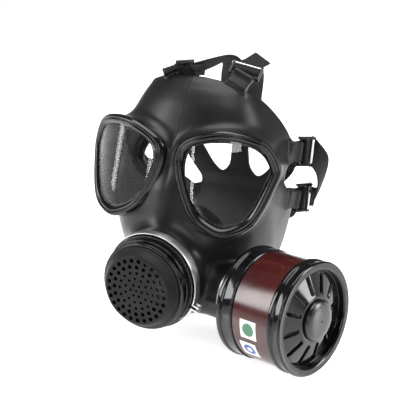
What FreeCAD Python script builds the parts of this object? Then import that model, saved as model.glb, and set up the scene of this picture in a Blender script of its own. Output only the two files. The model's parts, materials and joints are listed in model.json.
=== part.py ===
"""Full face respirator: a moulded rubber face blank with two lenses, a front outlet
valve, a screw-in filter canister on the wearer's left cheek, and a six-arm head harness.

Frame: millimetres, +Z up, -Y to the front, +X to the wearer's left. The origin is the
eye datum: midway between the two lens centres, on the plane of symmetry.
"""
import FreeCAD, Part
import math
import os

from FreeCAD import Matrix, Placement, Rotation, Vector
from Sketcher import Constraint

doc = FreeCAD.newDocument("respirator")

# ---------------------------------------------------------------- driving dimensions

SIZES = {
    # face blank
    "rubber_wall": 3.0,
    "seal_width": 17.0,
    "seal_wall": 3.5,
    # lenses and their frames
    "eye_spacing": 119.4,
    "lens_yaw": 23.3,
    "lens_pitch": 12.8,
    "lens_curve": 85.0,
    "lens_wall": 2.4,
    "frame_band": 8.4,
    "frame_height": 8.0,
    "retainer_band": 5.0,
    "retainer_height": 3.0,
    # outlet valve, lengths measured outward along its own axis
    "outlet_tilt": 4.5,
    "neck_radius": 44.2,
    "neck_wall": 2.5,
    "neck_front": 42.6,
    "outlet_front": 67.5,
    "face_radius": 32.6,
    "cover_radius": 36.2,
    "cover_rim": 60.5,
    "cover_wall": 1.8,
    "collar_radius": 40.8,
    "collar_start": 46.6,
    "collar_end": 56.0,
    "spigot_radius": 37.4,
    "bore_radius": 34.6,
    "flange_radius": 43.2,
    "running_gap": 0.05,
    "band_wall": 0.9,
    "band_width": 6.4,
    "band_start": 33.6,
    "plate_wall": 2.0,
    "port_radius": 13.2,
    "port_offset": 16.4,
    "disc_wall": 0.8,
    # inlet connector and canister, lengths outward along the canister's axis
    "canister_rear": 60.0,
    "canister_turn": 73.8,
    "canister_tilt": 5.8,
    "thread_radius": 20.0,
    "socket_depth": 17.0,
    "socket_wall": 3.4,
    "inlet_neck_radius": 26.2,
    "canister_radius": 48.0,
    "bead_radius": 50.0,
    "canister_length": 69.4,
    "shell_wall": 0.8,
    "label_wall": 0.2,
    "dome_radius": 17.9,
    "slot_length": 17.0,
    "slot_width": 2.6,
    # harness
    "strap_width": 21.0,
    "strap_wall": 1.6,
    "pin_radius": 1.3,
    "roller_radius": 1.7,
    "buckle_width": 29.0,
    "buckle_reach": 12.0,
    "plate_thickness": 2.6,
}


def make_sheet():
    """The spreadsheet that holds every driving dimension under its own name."""
    sheet = doc.addObject("Spreadsheet::Sheet", "Sizes")
    for row, (name, value) in enumerate(SIZES.items(), start=1):
        sheet.set("A%d" % row, name)
        sheet.set("B%d" % row, str(value))
        sheet.setAlias("B%d" % row, name)
    doc.recompute()
    return sheet


class Size:
    """A length read from the sheet, kept with the formula that gives it."""

    def __init__(self, value, formula):
        self.value = float(value)
        self.formula = formula

    def combine(self, other, sign, value_of):
        if not isinstance(other, Size):
            other = Size(other, str(float(other)))
        value = value_of(self.value, other.value)
        return Size(value, "(%s %s %s)" % (self.formula, sign, other.formula))

    def __add__(self, other):
        return self.combine(other, "+", lambda one, two: one + two)

    def __sub__(self, other):
        return self.combine(other, "-", lambda one, two: one - two)

    def __mul__(self, other):
        return self.combine(other, "*", lambda one, two: one * two)


class SizeBook:
    """Gives each named cell of the sheet as a Size: book.rubber_wall."""

    def __init__(self, sheet):
        self.sheet = sheet

    def __getattr__(self, name):
        return Size(self.sheet.get(name), "Sizes." + name)


size = SizeBook(make_sheet())


def plain(number):
    """A fixed number in the same form as a sheet length."""
    return number if isinstance(number, Size) else Size(number, str(float(number)))


def bind(item, prop, length):
    """Sets a property of an object from the sheet."""
    length = plain(length)
    item.setExpression(prop, length.formula)


# ---------------------------------------------------------------- building helpers

def frame_at(origin, along, across):
    """A placement whose Z axis is `along` and whose X axis leans to `across`."""
    z_axis = Vector(along).normalize()
    y_axis = z_axis.cross(Vector(across)).normalize()
    x_axis = y_axis.cross(z_axis)
    matrix = Matrix(x_axis.x, y_axis.x, z_axis.x, origin.x,
                    x_axis.y, y_axis.y, z_axis.y, origin.y,
                    x_axis.z, y_axis.z, z_axis.z, origin.z,
                    0, 0, 0, 1)
    return Placement(matrix)


def body_plane(body, role):
    for feature in body.Origin.OriginFeatures:
        if feature.Role == role:
            return feature
    raise ValueError("no plane " + role)


def new_body(label):
    body = doc.addObject("PartDesign::Body", label)
    body.Label = label
    return body


def new_sketch(body, name, role):
    sketch = body.newObject("Sketcher::SketchObject", name)
    sketch.AttachmentSupport = (body_plane(body, role), [""])
    sketch.MapMode = "FlatFace"
    return sketch


def place_vertex(sketch, line, end, where, axis_line, kind):
    """Ties one coordinate of a corner to its formula, or to the axis if it is zero."""
    where = plain(where)
    if abs(where.value) < 1e-9:
        sketch.addConstraint(Constraint("PointOnObject", line, end, axis_line))
        return
    index = sketch.addConstraint(Constraint(kind, -1, 1, line, end, where.value))
    sketch.setExpression("Constraints[%d]" % index, where.formula)


def outline(sketch, corners):
    """A closed outline of straight lines with every corner tied to the sheet."""
    values = [Vector(plain(a).value, plain(b).value, 0) for a, b in corners]
    count = len(values)
    for index in range(count):
        line = Part.LineSegment(values[index], values[(index + 1) % count])
        sketch.addGeometry(line, False)
    for index in range(count):
        sketch.addConstraint(
            Constraint("Coincident", index, 2, (index + 1) % count, 1))
    for index, (across, up) in enumerate(corners):
        place_vertex(sketch, index, 1, across, -2, "DistanceX")
        place_vertex(sketch, index, 1, up, -1, "DistanceY")


def turned(label, corners, placement):
    """A round piece: an outline of (radius, length) corners turned about Z."""
    body = new_body(label)
    sketch = new_sketch(body, label + "_profile", "XZ_Plane")
    outline(sketch, corners)
    spin = body.newObject("PartDesign::Revolution", label + "_turn")
    spin.Profile = sketch
    spin.ReferenceAxis = (sketch, ["V_Axis"])
    spin.Angle = 360.0
    body.Placement = placement
    doc.recompute()
    return body


def cut_circles(body, name, centres, radius, start, depth):
    """A pocket of round holes, `centres` from the axis, from `start` down `depth`."""
    sketch = new_sketch(body, name + "_holes", "XY_Plane")
    sketch.AttachmentOffset = Placement(Vector(0, 0, plain(start).value), Rotation())
    bind(sketch, "AttachmentOffset.Base.z", start)
    for index, (across, up) in enumerate(centres):
        circle = Part.Circle(Vector(across, up, 0), Vector(0, 0, 1), plain(radius).value)
        sketch.addGeometry(circle, False)
        tie = sketch.addConstraint(
            Constraint("Radius", index, plain(radius).value))
        sketch.setExpression("Constraints[%d]" % tie, plain(radius).formula)
    return finish_pocket(body, name, sketch, depth)


def cut_outline(body, name, corners, start, depth):
    """A pocket of one straight-sided outline, from `start` down `depth`."""
    sketch = new_sketch(body, name + "_outline", "XY_Plane")
    sketch.AttachmentOffset = Placement(Vector(0, 0, plain(start).value), Rotation())
    bind(sketch, "AttachmentOffset.Base.z", start)
    outline(sketch, corners)
    return finish_pocket(body, name, sketch, depth)


def finish_pocket(body, name, sketch, depth):
    """Adds the pocket feature and makes sure that it removed material."""
    doc.recompute()
    before = body.Shape.Volume
    pocket = body.newObject("PartDesign::Pocket", name)
    pocket.Profile = sketch
    pocket.Length = plain(depth).value
    bind(pocket, "Length", depth)
    doc.recompute()
    if body.Shape.Volume > before - 1e-6:
        pocket.Reversed = True
        doc.recompute()
    if body.Shape.Volume > before - 1e-6:
        raise ValueError(name + " removed nothing")
    return pocket


def repeat_round(body, feature, count):
    """Repeats a feature round the body's axis."""
    pattern = body.newObject("PartDesign::PolarPattern", feature.Name + "_ring")
    pattern.Originals = [feature]
    pattern.Axis = (feature.Profile[0], ["N_Axis"])
    pattern.Angle = 360.0
    pattern.Occurrences = count
    body.Tip = pattern
    doc.recompute()
    return pattern


def made(label, shape, placement=None):
    """A piece whose shape comes from Part's own functions."""
    item = doc.addObject("Part::Feature", label)
    item.Label = label
    item.Shape = shape
    if placement is not None:
        item.Placement = placement
    return item


def mirrored(shape):
    return shape.mirror(Vector(0, 0, 0), Vector(1, 0, 0))


def smooth_wire(points, closed=False):
    """A smooth curve through the points. A closed one is made of four edges."""
    curve = Part.BSplineCurve()
    curve.interpolate([Vector(*point) for point in points], PeriodicFlag=closed)
    if not closed:
        return Part.Wire([curve.toShape()])
    first = curve.FirstParameter
    quarter = (curve.LastParameter - first) / 4
    edges = []
    for index in range(4):
        piece = curve.copy()
        piece.segment(first + quarter * index, first + quarter * (index + 1))
        edges.append(piece.toShape())
    return Part.Wire(edges)


def turned_shape(corners):
    """The same as turned(), as a bare shape for cutting and joining."""
    points = [Vector(plain(radius).value, 0, plain(level).value) for radius, level in corners]
    wire = Part.makePolygon(points + points[:1])
    return Part.Face(wire).revolve(Vector(0, 0, 0), Vector(0, 0, 1), 360)


def rod(radius, start, end):
    """A plain cylinder between two points."""
    along = end - start
    return Part.makeCylinder(radius, along.Length, start, along)


# ---------------------------------------------------------------- shared places

OUTLET_LEAN = math.radians(size.outlet_tilt.value)
OUTLET_AXIS = Vector(0, -math.cos(OUTLET_LEAN), math.sin(OUTLET_LEAN))
OUTLET_ROOT = Vector(0, 0, -94.6)
OUTLET = frame_at(OUTLET_ROOT, OUTLET_AXIS, Vector(1, 0, 0))

CANISTER_AZIMUTH = math.radians(size.canister_turn.value)
CANISTER_LEAN = math.radians(size.canister_tilt.value)
CANISTER_AXIS = Vector(math.sin(CANISTER_AZIMUTH) * math.cos(CANISTER_LEAN),
                       -math.cos(CANISTER_AZIMUTH) * math.cos(CANISTER_LEAN),
                       math.sin(CANISTER_LEAN))
CANISTER_REAR = Vector(86.6, -10.9, -103.7)
CANISTER_ROOT = CANISTER_REAR - CANISTER_AXIS * size.canister_rear.value
CANISTER = frame_at(CANISTER_ROOT, CANISTER_AXIS, Vector(0, 1, 0))

LENS_CENTRE = Vector(size.eye_spacing.value / 2, 0, 0)
LENS_YAW = math.radians(size.lens_yaw.value)
LENS_PITCH = math.radians(size.lens_pitch.value)
LENS_NORMAL = Vector(math.sin(LENS_YAW) * math.cos(LENS_PITCH),
                     -math.cos(LENS_YAW) * math.cos(LENS_PITCH),
                     math.sin(LENS_PITCH))
LENS = frame_at(LENS_CENTRE, LENS_NORMAL, Vector(math.cos(LENS_YAW), math.sin(LENS_YAW), 0))


# ---------------------------------------------------------------- face blank

# Horizontal stations of the face form, from chin to forehead:
# height, front point, half width, depth of the widest point, squareness.
STATIONS = [
    (-153.5, 26.0, 34.0, 62.0, 2.3),
    (-144.0, 17.0, 46.0, 64.0, 2.2),
    (-134.0, 5.0, 56.0, 66.0, 2.1),
    (-118.0, -8.0, 66.0, 68.0, 2.0),
    (-95.0, -18.0, 73.5, 66.0, 2.0),
    (-68.0, -24.0, 78.5, 60.0, 2.0),
    (-40.0, -20.0, 80.0, 48.0, 2.1),
    (-8.0, -7.0, 80.6, 52.0, 2.2),
    (20.0, 2.0, 76.4, 57.5, 2.3),
    (42.0, 14.0, 64.5, 60.6, 2.3),
    (60.0, 25.5, 53.6, 62.6, 2.2),
    (70.0, 35.0, 46.5, 66.5, 2.1),
    (77.0, 45.0, 35.5, 68.0, 2.0),
    (82.0, 60.0, 24.0, 72.0, 2.0),
]

# The rear edge of the face blank seen from the side: depth and height.
REAR_EDGE = [
    (62.0, -160.0), (76.0, -132.0), (88.0, -108.0), (95.0, -75.0), (98.0, -52.0),
    (94.0, -38.0), (79.0, -28.0), (73.0, -19.5), (78.0, -11.0), (91.0, -3.0), (94.0, 8.0),
    (91.0, 20.0), (80.0, 45.0), (64.0, 62.0), (52.0, 71.0), (44.0, 84.0),
]

# The opening that the face goes through, seen from behind: side and height.
FACE_OPENING = [
    (0.0, 59.0), (28.0, 53.0), (52.0, 32.0), (67.0, 0.0), (72.5, -38.0), (67.0, -78.0),
    (44.0, -112.0), (0.0, -124.0),
]

SECTION_STEPS = 7
BACK_DEPTH = 150.0


def station_wire(level, front, half, widest, square, inset):
    """One closed section: a rounded front, straight sides and a flat back."""
    front = front + inset
    half = half - inset
    right = []
    for step in range(SECTION_STEPS + 1):
        angle = 0.5 * math.pi * step / SECTION_STEPS
        across = half * math.sin(angle) ** (2.0 / square)
        depth = widest - (widest - front) * math.cos(angle) ** (2.0 / square)
        right.append((across, depth, level))
    right.append((half - 3.0, 0.5 * (widest + BACK_DEPTH), level))
    right.append((half - 9.0, BACK_DEPTH, level))
    left = [(-across, depth, level) for across, depth, level in reversed(right[1:])]
    curve = Part.BSplineCurve()
    curve.interpolate([Vector(*point) for point in left + right])
    back = Part.LineSegment(Vector(*right[-1]), Vector(*left[0]))
    return Part.Wire([curve.toShape(), back.toShape()])


def face_form(inset):
    """The solid face form, drawn in by `inset` all round."""
    wires = []
    lowest = STATIONS[0][0]
    highest = STATIONS[-1][0]
    shrink = (highest - lowest - 2 * inset) / (highest - lowest)
    for level, front, half, widest, square in STATIONS:
        drawn = lowest + inset + (level - lowest) * shrink
        wires.append(station_wire(drawn, front, half, widest, square, inset))
    return Part.makeLoft(wires, True, False)


def behind_edge(offset):
    """Everything behind the rear edge of the face blank, moved forward by `offset`."""
    points = [(0, depth - offset, level) for depth, level in REAR_EDGE]
    curve = smooth_wire(points)
    first = Vector(*points[0])
    last = Vector(*points[-1])
    far = 260.0
    corners = [last, Vector(0, far, last.z), Vector(0, far, first.z), first]
    sides = [Part.LineSegment(a, b).toShape() for a, b in zip(corners, corners[1:])]
    wire = Part.Wire(curve.Edges + sides)
    slab = Part.Face(wire).extrude(Vector(320, 0, 0))
    slab.translate(Vector(-160, 0, 0))
    return slab


def face_opening():
    """The prism through the rear wall that the face goes through."""
    right = [(across, 0, level) for across, level in FACE_OPENING]
    left = [(-across, 0, level) for across, _, level in reversed(right[1:-1])]
    wire = smooth_wire(right + left, closed=True)
    prism = Part.Face(wire).extrude(Vector(0, 160, 0))
    prism.translate(Vector(0, 50, 0))
    return prism


# The outer outline of a lens frame in the lens's own plane: towards the temple, and up.
LENS_OUTLINE = [
    (42.9, 13.0), (27.2, 36.3), (-10.0, 44.8), (-44.1, 34.6), (-52.5, 11.7),
    (-40.5, -29.0), (-18.5, -47.3), (1.0, -48.4), (21.4, -36.5), (38.4, -5.6),
]
OUTLINE_STEPS = 28


def lens_outline(inset):
    """The outline of a lens frame, drawn in by `inset` at right angles to itself."""
    curve = Part.BSplineCurve()
    curve.interpolate([Vector(across, up, 0) for across, up in LENS_OUTLINE],
                      PeriodicFlag=True)
    first = curve.FirstParameter
    span = curve.LastParameter - first
    points = []
    for step in range(OUTLINE_STEPS):
        where = first + span * step / OUTLINE_STEPS
        point = curve.value(where)
        run = curve.tangent(where)[0]
        points.append(point + Vector(-run.y, run.x, 0) * inset)
    return smooth_wire(points, closed=True)


def lens_prism(inset, low, high):
    """A prism on the lens outline, bent to the lens's curve: low to high off its face."""
    prism = Part.Face(lens_outline(inset)).extrude(Vector(0, 0, 80))
    prism.translate(Vector(0, 0, -50))
    return prism.common(curved_slab(low, high))


def curved_slab(low, high):
    """The space between two upright cylinders either side of the lens's face."""
    curve = size.lens_curve.value
    start = Vector(0, -90, -curve)
    up = Vector(0, 1, 0)
    outer = Part.makeCylinder(curve + high, 180, start, up)
    if low < -curve / 2:
        return outer
    return outer.cut(Part.makeCylinder(curve + low, 180, start, up))


SOCKET_TOP = -2.0
LUG_BORE = size.pin_radius.value + size.running_gap.value


def rubber_neck(radius, placement, start, end):
    neck = Part.makeCylinder(radius, end - start, Vector(0, 0, start))
    neck.Placement = placement
    return neck


def face_blank():
    """The moulded face blank with lens sockets, two necks and six harness lugs."""
    wall = size.rubber_wall.value
    solid = face_form(0.0)
    for sign in (1, -1):
        socket = lens_prism(0.6, -60.0, SOCKET_TOP)
        socket.Placement = LENS
        solid = solid.fuse(socket if sign > 0 else mirrored(socket))
    solid = solid.fuse(rubber_neck(size.neck_radius.value, OUTLET, -20.0,
                                   size.neck_front.value))
    solid = solid.fuse(rubber_neck(size.inlet_neck_radius.value, CANISTER, 4.0, 52.0))
    solid = solid.cut(behind_edge(0.0))
    hollow = face_form(wall).cut(behind_edge(size.seal_wall.value))
    solid = solid.cut(hollow)
    solid = solid.cut(face_opening())
    for sign in (1, -1):
        window = lens_prism(size.frame_band.value + 0.6, -60.0, 20.0)
        window.Placement = LENS
        solid = solid.cut(window if sign > 0 else mirrored(window))
        ledge = lens_prism(0.0, SOCKET_TOP, 20.0)
        ledge.Placement = LENS
        solid = solid.cut(ledge if sign > 0 else mirrored(ledge))
    neck_bore = size.neck_radius.value - size.neck_wall.value
    solid = solid.cut(rubber_neck(neck_bore, OUTLET, 0.0, 60.0))
    socket_bore = size.thread_radius.value + size.socket_wall.value
    solid = solid.cut(rubber_neck(socket_bore, CANISTER, 14.0, 60.0))
    for lug in LUGS:
        solid = solid.fuse(lug_shape(lug))
    for lug in LUGS:
        solid = solid.cut(lug_clearance(lug))
    return made("face_blank", solid.removeSplitter())


# ---------------------------------------------------------------- harness places

class Lug:
    """A harness lug: its pin, the way its buckle points and the way its width runs."""

    def __init__(self, name, root, pin, along, across):
        self.name = name
        self.root = Vector(*root)
        self.pin = Vector(*pin)
        self.along = Vector(*along).normalize()
        across = Vector(*across)
        self.normal = self.along.cross(across).normalize()
        self.across = self.normal.cross(self.along)
        matrix = Matrix(self.along.x, self.across.x, self.normal.x, self.pin.x,
                        self.along.y, self.across.y, self.normal.y, self.pin.y,
                        self.along.z, self.across.z, self.normal.z, self.pin.z,
                        0, 0, 0, 1)
        self.place = Placement(matrix)


LUGS = [
    Lug("forehead_left", (39, 49, 71), (43, 58, 80), (-0.05, 0.88, 0.47), (-0.96, 0, 0.28)),
    Lug("forehead_right", (-32, 48, 73), (-19, 55, 79), (0.93, 0.33, 0.1), (0, 0.75, -0.6)),
    Lug("temple_left", (79, 86, 4), (86, 94, 3), (0.80, 0.58, -0.06), (0, 0, 1)),
    Lug("temple_right", (-79, 86, 4), (-86, 94, 3), (-0.80, 0.58, -0.06), (0, 0, -1)),
    Lug("cheek_left", (79, 88, -44), (85, 97, -46), (0.66, 0.75, -0.08), (0, 0, 1)),
    Lug("cheek_right", (-79, 88, -44), (-85, 97, -46), (-0.66, 0.75, -0.08), (0, 0, -1)),
]

LUG_WIDTH = 21.0
LUG_EYE = 3.3


def lug_shape(lug):
    """A rubber tab from the blank's edge to a rolled eye round the buckle's pin."""
    half = 0.5 * LUG_WIDTH * lug.across
    eye = rod(LUG_EYE, lug.pin - half, lug.pin + half)
    back = lug.root - lug.pin
    side = back.cross(lug.across).normalize() * 2.2
    corners = [lug.pin - half + side, lug.root - half + side * 1.5,
               lug.root - half - side * 1.5, lug.pin - half - side]
    tab = Part.Face(Part.makePolygon(corners + corners[:1])).extrude(half * 2)
    return tab.fuse(eye)


def lug_clearance(lug):
    """The bore for the buckle's pin."""
    half = lug.across * (0.5 * LUG_WIDTH + 1.0)
    return rod(LUG_BORE, lug.pin - half, lug.pin + half)


# ---------------------------------------------------------------- lenses

def lens_pieces():
    """Both lenses, each with a front frame and an inner retaining ring."""
    frame_high = size.frame_height.value - 2.0
    glass_low = 0.5
    glass_high = glass_low + size.lens_wall.value
    frame_inset = size.frame_band.value
    groove_inset = frame_inset - 2.6
    frame = lens_prism(0.0, SOCKET_TOP, frame_high)
    frame = frame.cut(lens_prism(frame_inset, -20.0, 20.0))
    frame = frame.cut(lens_prism(groove_inset, SOCKET_TOP - 1.0, glass_high))
    lens = lens_prism(groove_inset, glass_low, glass_high)
    retainer_low = glass_low - size.retainer_height.value
    retainer = lens_prism(groove_inset, retainer_low, glass_low)
    retainer = retainer.cut(
        lens_prism(groove_inset + size.retainer_band.value, -20.0, 20.0))
    retainer = retainer.cut(curved_slab(-60.0, SOCKET_TOP))
    for name, shape in (("lens", lens), ("lens_frame", frame), ("lens_retainer", retainer)):
        shape.Placement = LENS
        made(name + "_left", shape)
        made(name + "_right", mirrored(shape))


# ---------------------------------------------------------------- outlet valve

def outlet_housing():
    """The moulded housing in the front neck: a spigot in front of a flange."""
    bore = size.bore_radius
    barrel = size.neck_radius - size.neck_wall
    front = size.neck_front
    return turned("outlet_housing", [
        (bore, 8.0), (barrel, 8.0), (barrel, front), (size.flange_radius, front),
        (size.flange_radius, front + 3.4), (size.spigot_radius, front + 3.4),
        (size.spigot_radius, size.collar_end + 1.0), (bore, size.collar_end + 1.0),
    ], OUTLET)


COLLAR_WINDOWS = 8
OUTLET_EAR_TURN = -20.0
INLET_EAR_TURN = 60.0


def bayonet_collar():
    """The turning collar with its rectangular windows."""
    bore = size.spigot_radius + size.running_gap
    start = size.collar_start
    body = turned("bayonet_collar", [
        (bore, start), (size.collar_radius, start), (size.collar_radius, size.collar_end),
        (size.collar_radius - 1.2, size.collar_end + 1.2), (bore, size.collar_end + 1.2),
    ], OUTLET)
    window = new_sketch(body, "window_outline", "YZ_Plane")
    outline(window, [(-7.0, start + 2.6), (7.0, start + 2.6),
                     (7.0, start + 7.4), (-7.0, start + 7.4)])
    doc.recompute()
    before = body.Shape.Volume
    pocket = body.newObject("PartDesign::Pocket", "window")
    pocket.Profile = window
    pocket.Type = 1
    doc.recompute()
    if body.Shape.Volume > before - 1e-6:
        pocket.Reversed = True
        doc.recompute()
    ring = body.newObject("PartDesign::PolarPattern", "window_ring")
    ring.Originals = [pocket]
    ring.Axis = (body_plane(body, "Z_Axis"), [""])
    ring.Angle = 360.0
    ring.Occurrences = COLLAR_WINDOWS
    body.Tip = ring
    doc.recompute()
    return body


# Rings of holes in the outlet cover: radius of the ring, count, radius of one hole.
HOLE_RINGS = [(5.6, 6, 1.15), (11.2, 11, 1.15), (16.8, 16, 1.2), (22.4, 20, 1.7),
              (28.0, 25, 1.75)]


def outlet_cover():
    """The perforated cover over the outlet, its face standing proud of its rim."""
    wall = size.cover_wall
    front = size.outlet_front
    rim = size.cover_rim
    start = size.collar_end + 1.2
    body = turned("outlet_cover", [
        (0, front - wall), (size.face_radius - 2.6, front - wall),
        (size.cover_radius - 2.4, rim), (size.cover_radius - 2.4, start),
        (size.cover_radius + 1.6, start), (size.cover_radius + 1.6, rim - 1.6),
        (size.cover_radius, rim), (size.face_radius, front - 1.2),
        (size.face_radius - 1.2, front), (0, front),
    ], OUTLET)
    cut_circles(body, "centre_hole", [(0, 0)], 1.15, front, wall + 1.0)
    for index, (ring, count, radius) in enumerate(HOLE_RINGS):
        hole = cut_circles(body, "hole_%d" % index, [(ring, 0)], radius, front, wall + 1.0)
        repeat_round(body, hole, count)
    return body


PLATE_LEVEL = 26.0


def valve_plate():
    """The plate inside the housing that carries the diaphragm and the valve."""
    level = PLATE_LEVEL
    body = turned("valve_plate", [
        (0, level), (size.bore_radius, level), (size.bore_radius, size.plate_wall + level),
        (0, size.plate_wall + level),
    ], OUTLET)
    offset = size.port_offset.value
    cut_circles(body, "speech_port", [(0, offset)], size.port_radius,
                size.plate_wall + level, size.plate_wall + 1.0)
    petals = []
    for step in range(6):
        angle = math.radians(60 * step + 30)
        petals.append((7.6 * math.cos(angle), 7.6 * math.sin(angle) - offset))
    cut_circles(body, "valve_port", petals, 3.0, size.plate_wall + level,
                size.plate_wall + 1.0)
    return body


def outlet_inner_pieces():
    """Speech diaphragm, its ring, and the exhalation valve disc."""
    top = PLATE_LEVEL + size.plate_wall.value
    offset = size.port_offset.value
    upper = OUTLET.multiply(Placement(Vector(0, offset, top), Rotation()))
    lower = OUTLET.multiply(Placement(Vector(0, -offset, top), Rotation()))
    edge = size.port_radius + 1.4
    turned("speech_diaphragm", [(0, 0), (edge, 0), (edge, 0.3), (0, 0.3)], upper)
    turned("diaphragm_ring", [(size.port_radius - 1.2, 0.3), (edge, 0.3), (edge, 2.6),
                              (size.port_radius - 1.2, 2.6)], upper)
    turned("exhalation_valve", [
        (0, 0.3), (12.0, 0.3), (12.0, size.disc_wall + 0.3), (2.5, size.disc_wall + 0.3),
        (2.5, 2.6), (0, 2.6)], lower)


def clamp_band(label, radius, start, width, placement, ear_angle):
    """A worm-drive band: a thin hoop with two ears for its screw."""
    wall = size.band_wall.value
    hoop = turned_shape([(radius, start), (radius + wall, start),
                         (radius + wall, start + width), (radius, start + width)])
    gap = Part.makeBox(radius + 10, 3.0, width + 2, Vector(0, -1.5, start - 1))
    hoop = hoop.cut(gap)
    for side in (-1, 1):
        low = 1.5 if side > 0 else -1.5 - wall
        ear = Part.makeBox(7.0, wall, width, Vector(radius + 0.3, low, start))
        bolt = rod(1.5, Vector(radius + 4.6, -9, start + width / 2),
                   Vector(radius + 4.6, 9, start + width / 2))
        hoop = hoop.fuse(ear).cut(bolt)
    turn = Placement(Vector(), Rotation(Vector(0, 0, 1), ear_angle))
    return made(label, hoop.removeSplitter(), placement.multiply(turn))


def clamp_screw(label, radius, start, width, placement, ear_angle):
    """The band's screw: head outside one ear, nut outside the other."""
    wall = size.band_wall.value
    middle = Vector(radius + 4.6, 0, start + width / 2)
    reach = 1.5 + wall
    shank = rod(1.45, middle - Vector(0, reach + 2.2, 0), middle + Vector(0, reach + 2, 0))
    head = rod(2.7, middle + Vector(0, reach, 0), middle + Vector(0, reach + 2.2, 0))
    nut = rod(2.6, middle - Vector(0, reach + 2.2, 0), middle - Vector(0, reach, 0))
    slot = Part.makeBox(6.0, 0.8, 0.8, middle + Vector(-3.0, reach + 1.5, -0.4))
    turn = Placement(Vector(), Rotation(Vector(0, 0, 1), ear_angle))
    return made(label, shank.fuse(head).fuse(nut).cut(slot), placement.multiply(turn))


# ---------------------------------------------------------------- inlet and canister

# Lengths along the canister's axis are measured outward from a root in the mask.
SEAT = 41.0
THREAD_START = SEAT + 2.05


def inlet_pieces():
    """The threaded connector in the cheek neck, with its valve seat and valve."""
    outer = size.thread_radius + size.socket_wall
    rear = size.canister_rear
    turned("inlet_connector", [
        (15.0, 21.0), (outer, 21.0), (outer, 52.0), (outer + 3.0, 52.0),
        (outer + 3.0, rear - 4.6), (size.thread_radius, rear - 4.6),
        (size.thread_radius, SEAT), (15.0, SEAT),
    ], CANISTER)
    seat = turned("inhalation_seat", [(0, 26.0), (15.0, 26.0), (15.0, 28.0), (0, 28.0)],
                  CANISTER)
    petals = [(9.0 * math.cos(math.radians(60 * step)), 9.0 * math.sin(math.radians(60 * step)))
              for step in range(6)]
    cut_circles(seat, "seat_port", petals, 3.4, 28.0, 3.0)
    turned("inhalation_valve", [
        (0, 23.2), (2.4, 23.2), (2.4, 24.9), (13.0, 24.9), (13.0, 25.7), (0, 25.7),
    ], CANISTER)
    turned("canister_gasket", [
        (15.4, SEAT + 0.05), (size.thread_radius - 0.1, SEAT + 0.05),
        (size.thread_radius - 0.1, SEAT + 2.0), (15.4, SEAT + 2.0),
    ], CANISTER)


def canister_shell():
    """The straight metal wall of the canister and the label wrapped round it."""
    rear = size.canister_rear
    outer = size.canister_radius - size.label_wall
    inner = outer - size.shell_wall
    front = rear + size.canister_length - 2.4
    turned("canister_shell", [
        (inner, rear + 2.0), (outer, rear + 2.0), (outer, front), (inner, front),
    ], CANISTER)
    turned("canister_label", [
        (outer, rear + 18.0), (size.canister_radius, rear + 18.0),
        (size.canister_radius, rear + 55.0), (outer, rear + 55.0),
    ], CANISTER)


def canister_rear_cap():
    """The rear cap: threaded neck, flat rear face, rolled lip, band and bead."""
    rear = size.canister_rear
    wall = size.canister_radius - size.label_wall
    band = size.canister_radius + 0.6
    bead = size.bead_radius
    thread = size.thread_radius - size.running_gap
    turned("canister_rear_cap", [
        (15.0, THREAD_START), (thread - 0.8, THREAD_START), (thread, THREAD_START + 0.8),
        (thread, rear), (bead - 1.4, rear), (bead, rear + 1.4), (bead, rear + 5.0),
        (band, rear + 6.4), (band, rear + 15.4), (band + 0.7, rear + 16.0),
        (band + 0.7, rear + 17.0), (band, rear + 17.5), (wall, rear + 17.5),
        (wall, rear + 2.0), (15.0, rear + 2.0),
    ], CANISTER)


CANISTER_SLOTS = 12
SCREEN_WALL = 0.8


def canister_front_cap():
    """The front cap: bead, band, rolled lip and a slotted cone rising to the middle."""
    rear = size.canister_rear
    front = rear + size.canister_length
    wall = size.canister_radius - size.label_wall
    band = size.canister_radius + 0.6
    bead = size.bead_radius
    body = turned("canister_front_cap", [
        (0, front - 0.6), (20.0, front - 0.6), (44.2, front - 8.4), (44.2, front - 2.4),
        (wall, front - 2.4), (wall, front - 14.3), (bead - 1.0, front - 14.3),
        (bead, front - 13.2), (bead, front - 10.2), (band, front - 9.0),
        (band, front - 3.2), (bead, front - 2.4), (bead, front - 1.0),
        (bead - 1.0, front), (43.8, front), (42.6, front - 1.2), (42.6, front - 6.8),
        (20.0, front + 0.6), (0, front + 0.6),
    ], CANISTER)
    near = 22.5
    half = size.slot_width * 0.5
    slot = cut_outline(body, "slot", [
        (near, half * -1.0), (size.slot_length + near, half * -1.0),
        (size.slot_length + near, half), (near, half)], front + 2.0, 14.0)
    repeat_round(body, slot, CANISTER_SLOTS)
    dome = size.dome_radius
    turned("canister_dome", [
        (0, front + 0.6), (dome, front + 0.6), (dome, front + 3.0), (dome - 1.0, front + 4.6),
        (dome - 4.4, front + 5.8), (dome - 10.0, front + 6.4), (0, front + 6.6),
    ], CANISTER)
    return body


def canister_filling():
    """What the canister holds: screens, the carbon bed and the particle filter."""
    rear = size.canister_rear
    radius = size.canister_radius - size.label_wall - size.shell_wall - 0.05
    for label, low, high in [("carbon_bed", 2.8, 36.0), ("particle_filter", 36.0, 54.0)]:
        turned(label, [(0, rear + low), (radius, rear + low), (radius, rear + high),
                       (0, rear + high)], CANISTER)
    screens = []
    for low in (2.0, 54.0):
        start = (rear + low).value
        screens.append(Part.makeCylinder(radius.value, SCREEN_WALL, Vector(0, 0, start)))
    made("canister_screens", Part.makeCompound(screens), CANISTER)


# ---------------------------------------------------------------- nose cup

NOSE_CUP_WALL = 2.0
CHECK_VALVE_AT = Vector(37.5, 22.0, -80.0)
CHECK_VALVE_AXIS = Vector(0.93, -0.36, 0.0)


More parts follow.
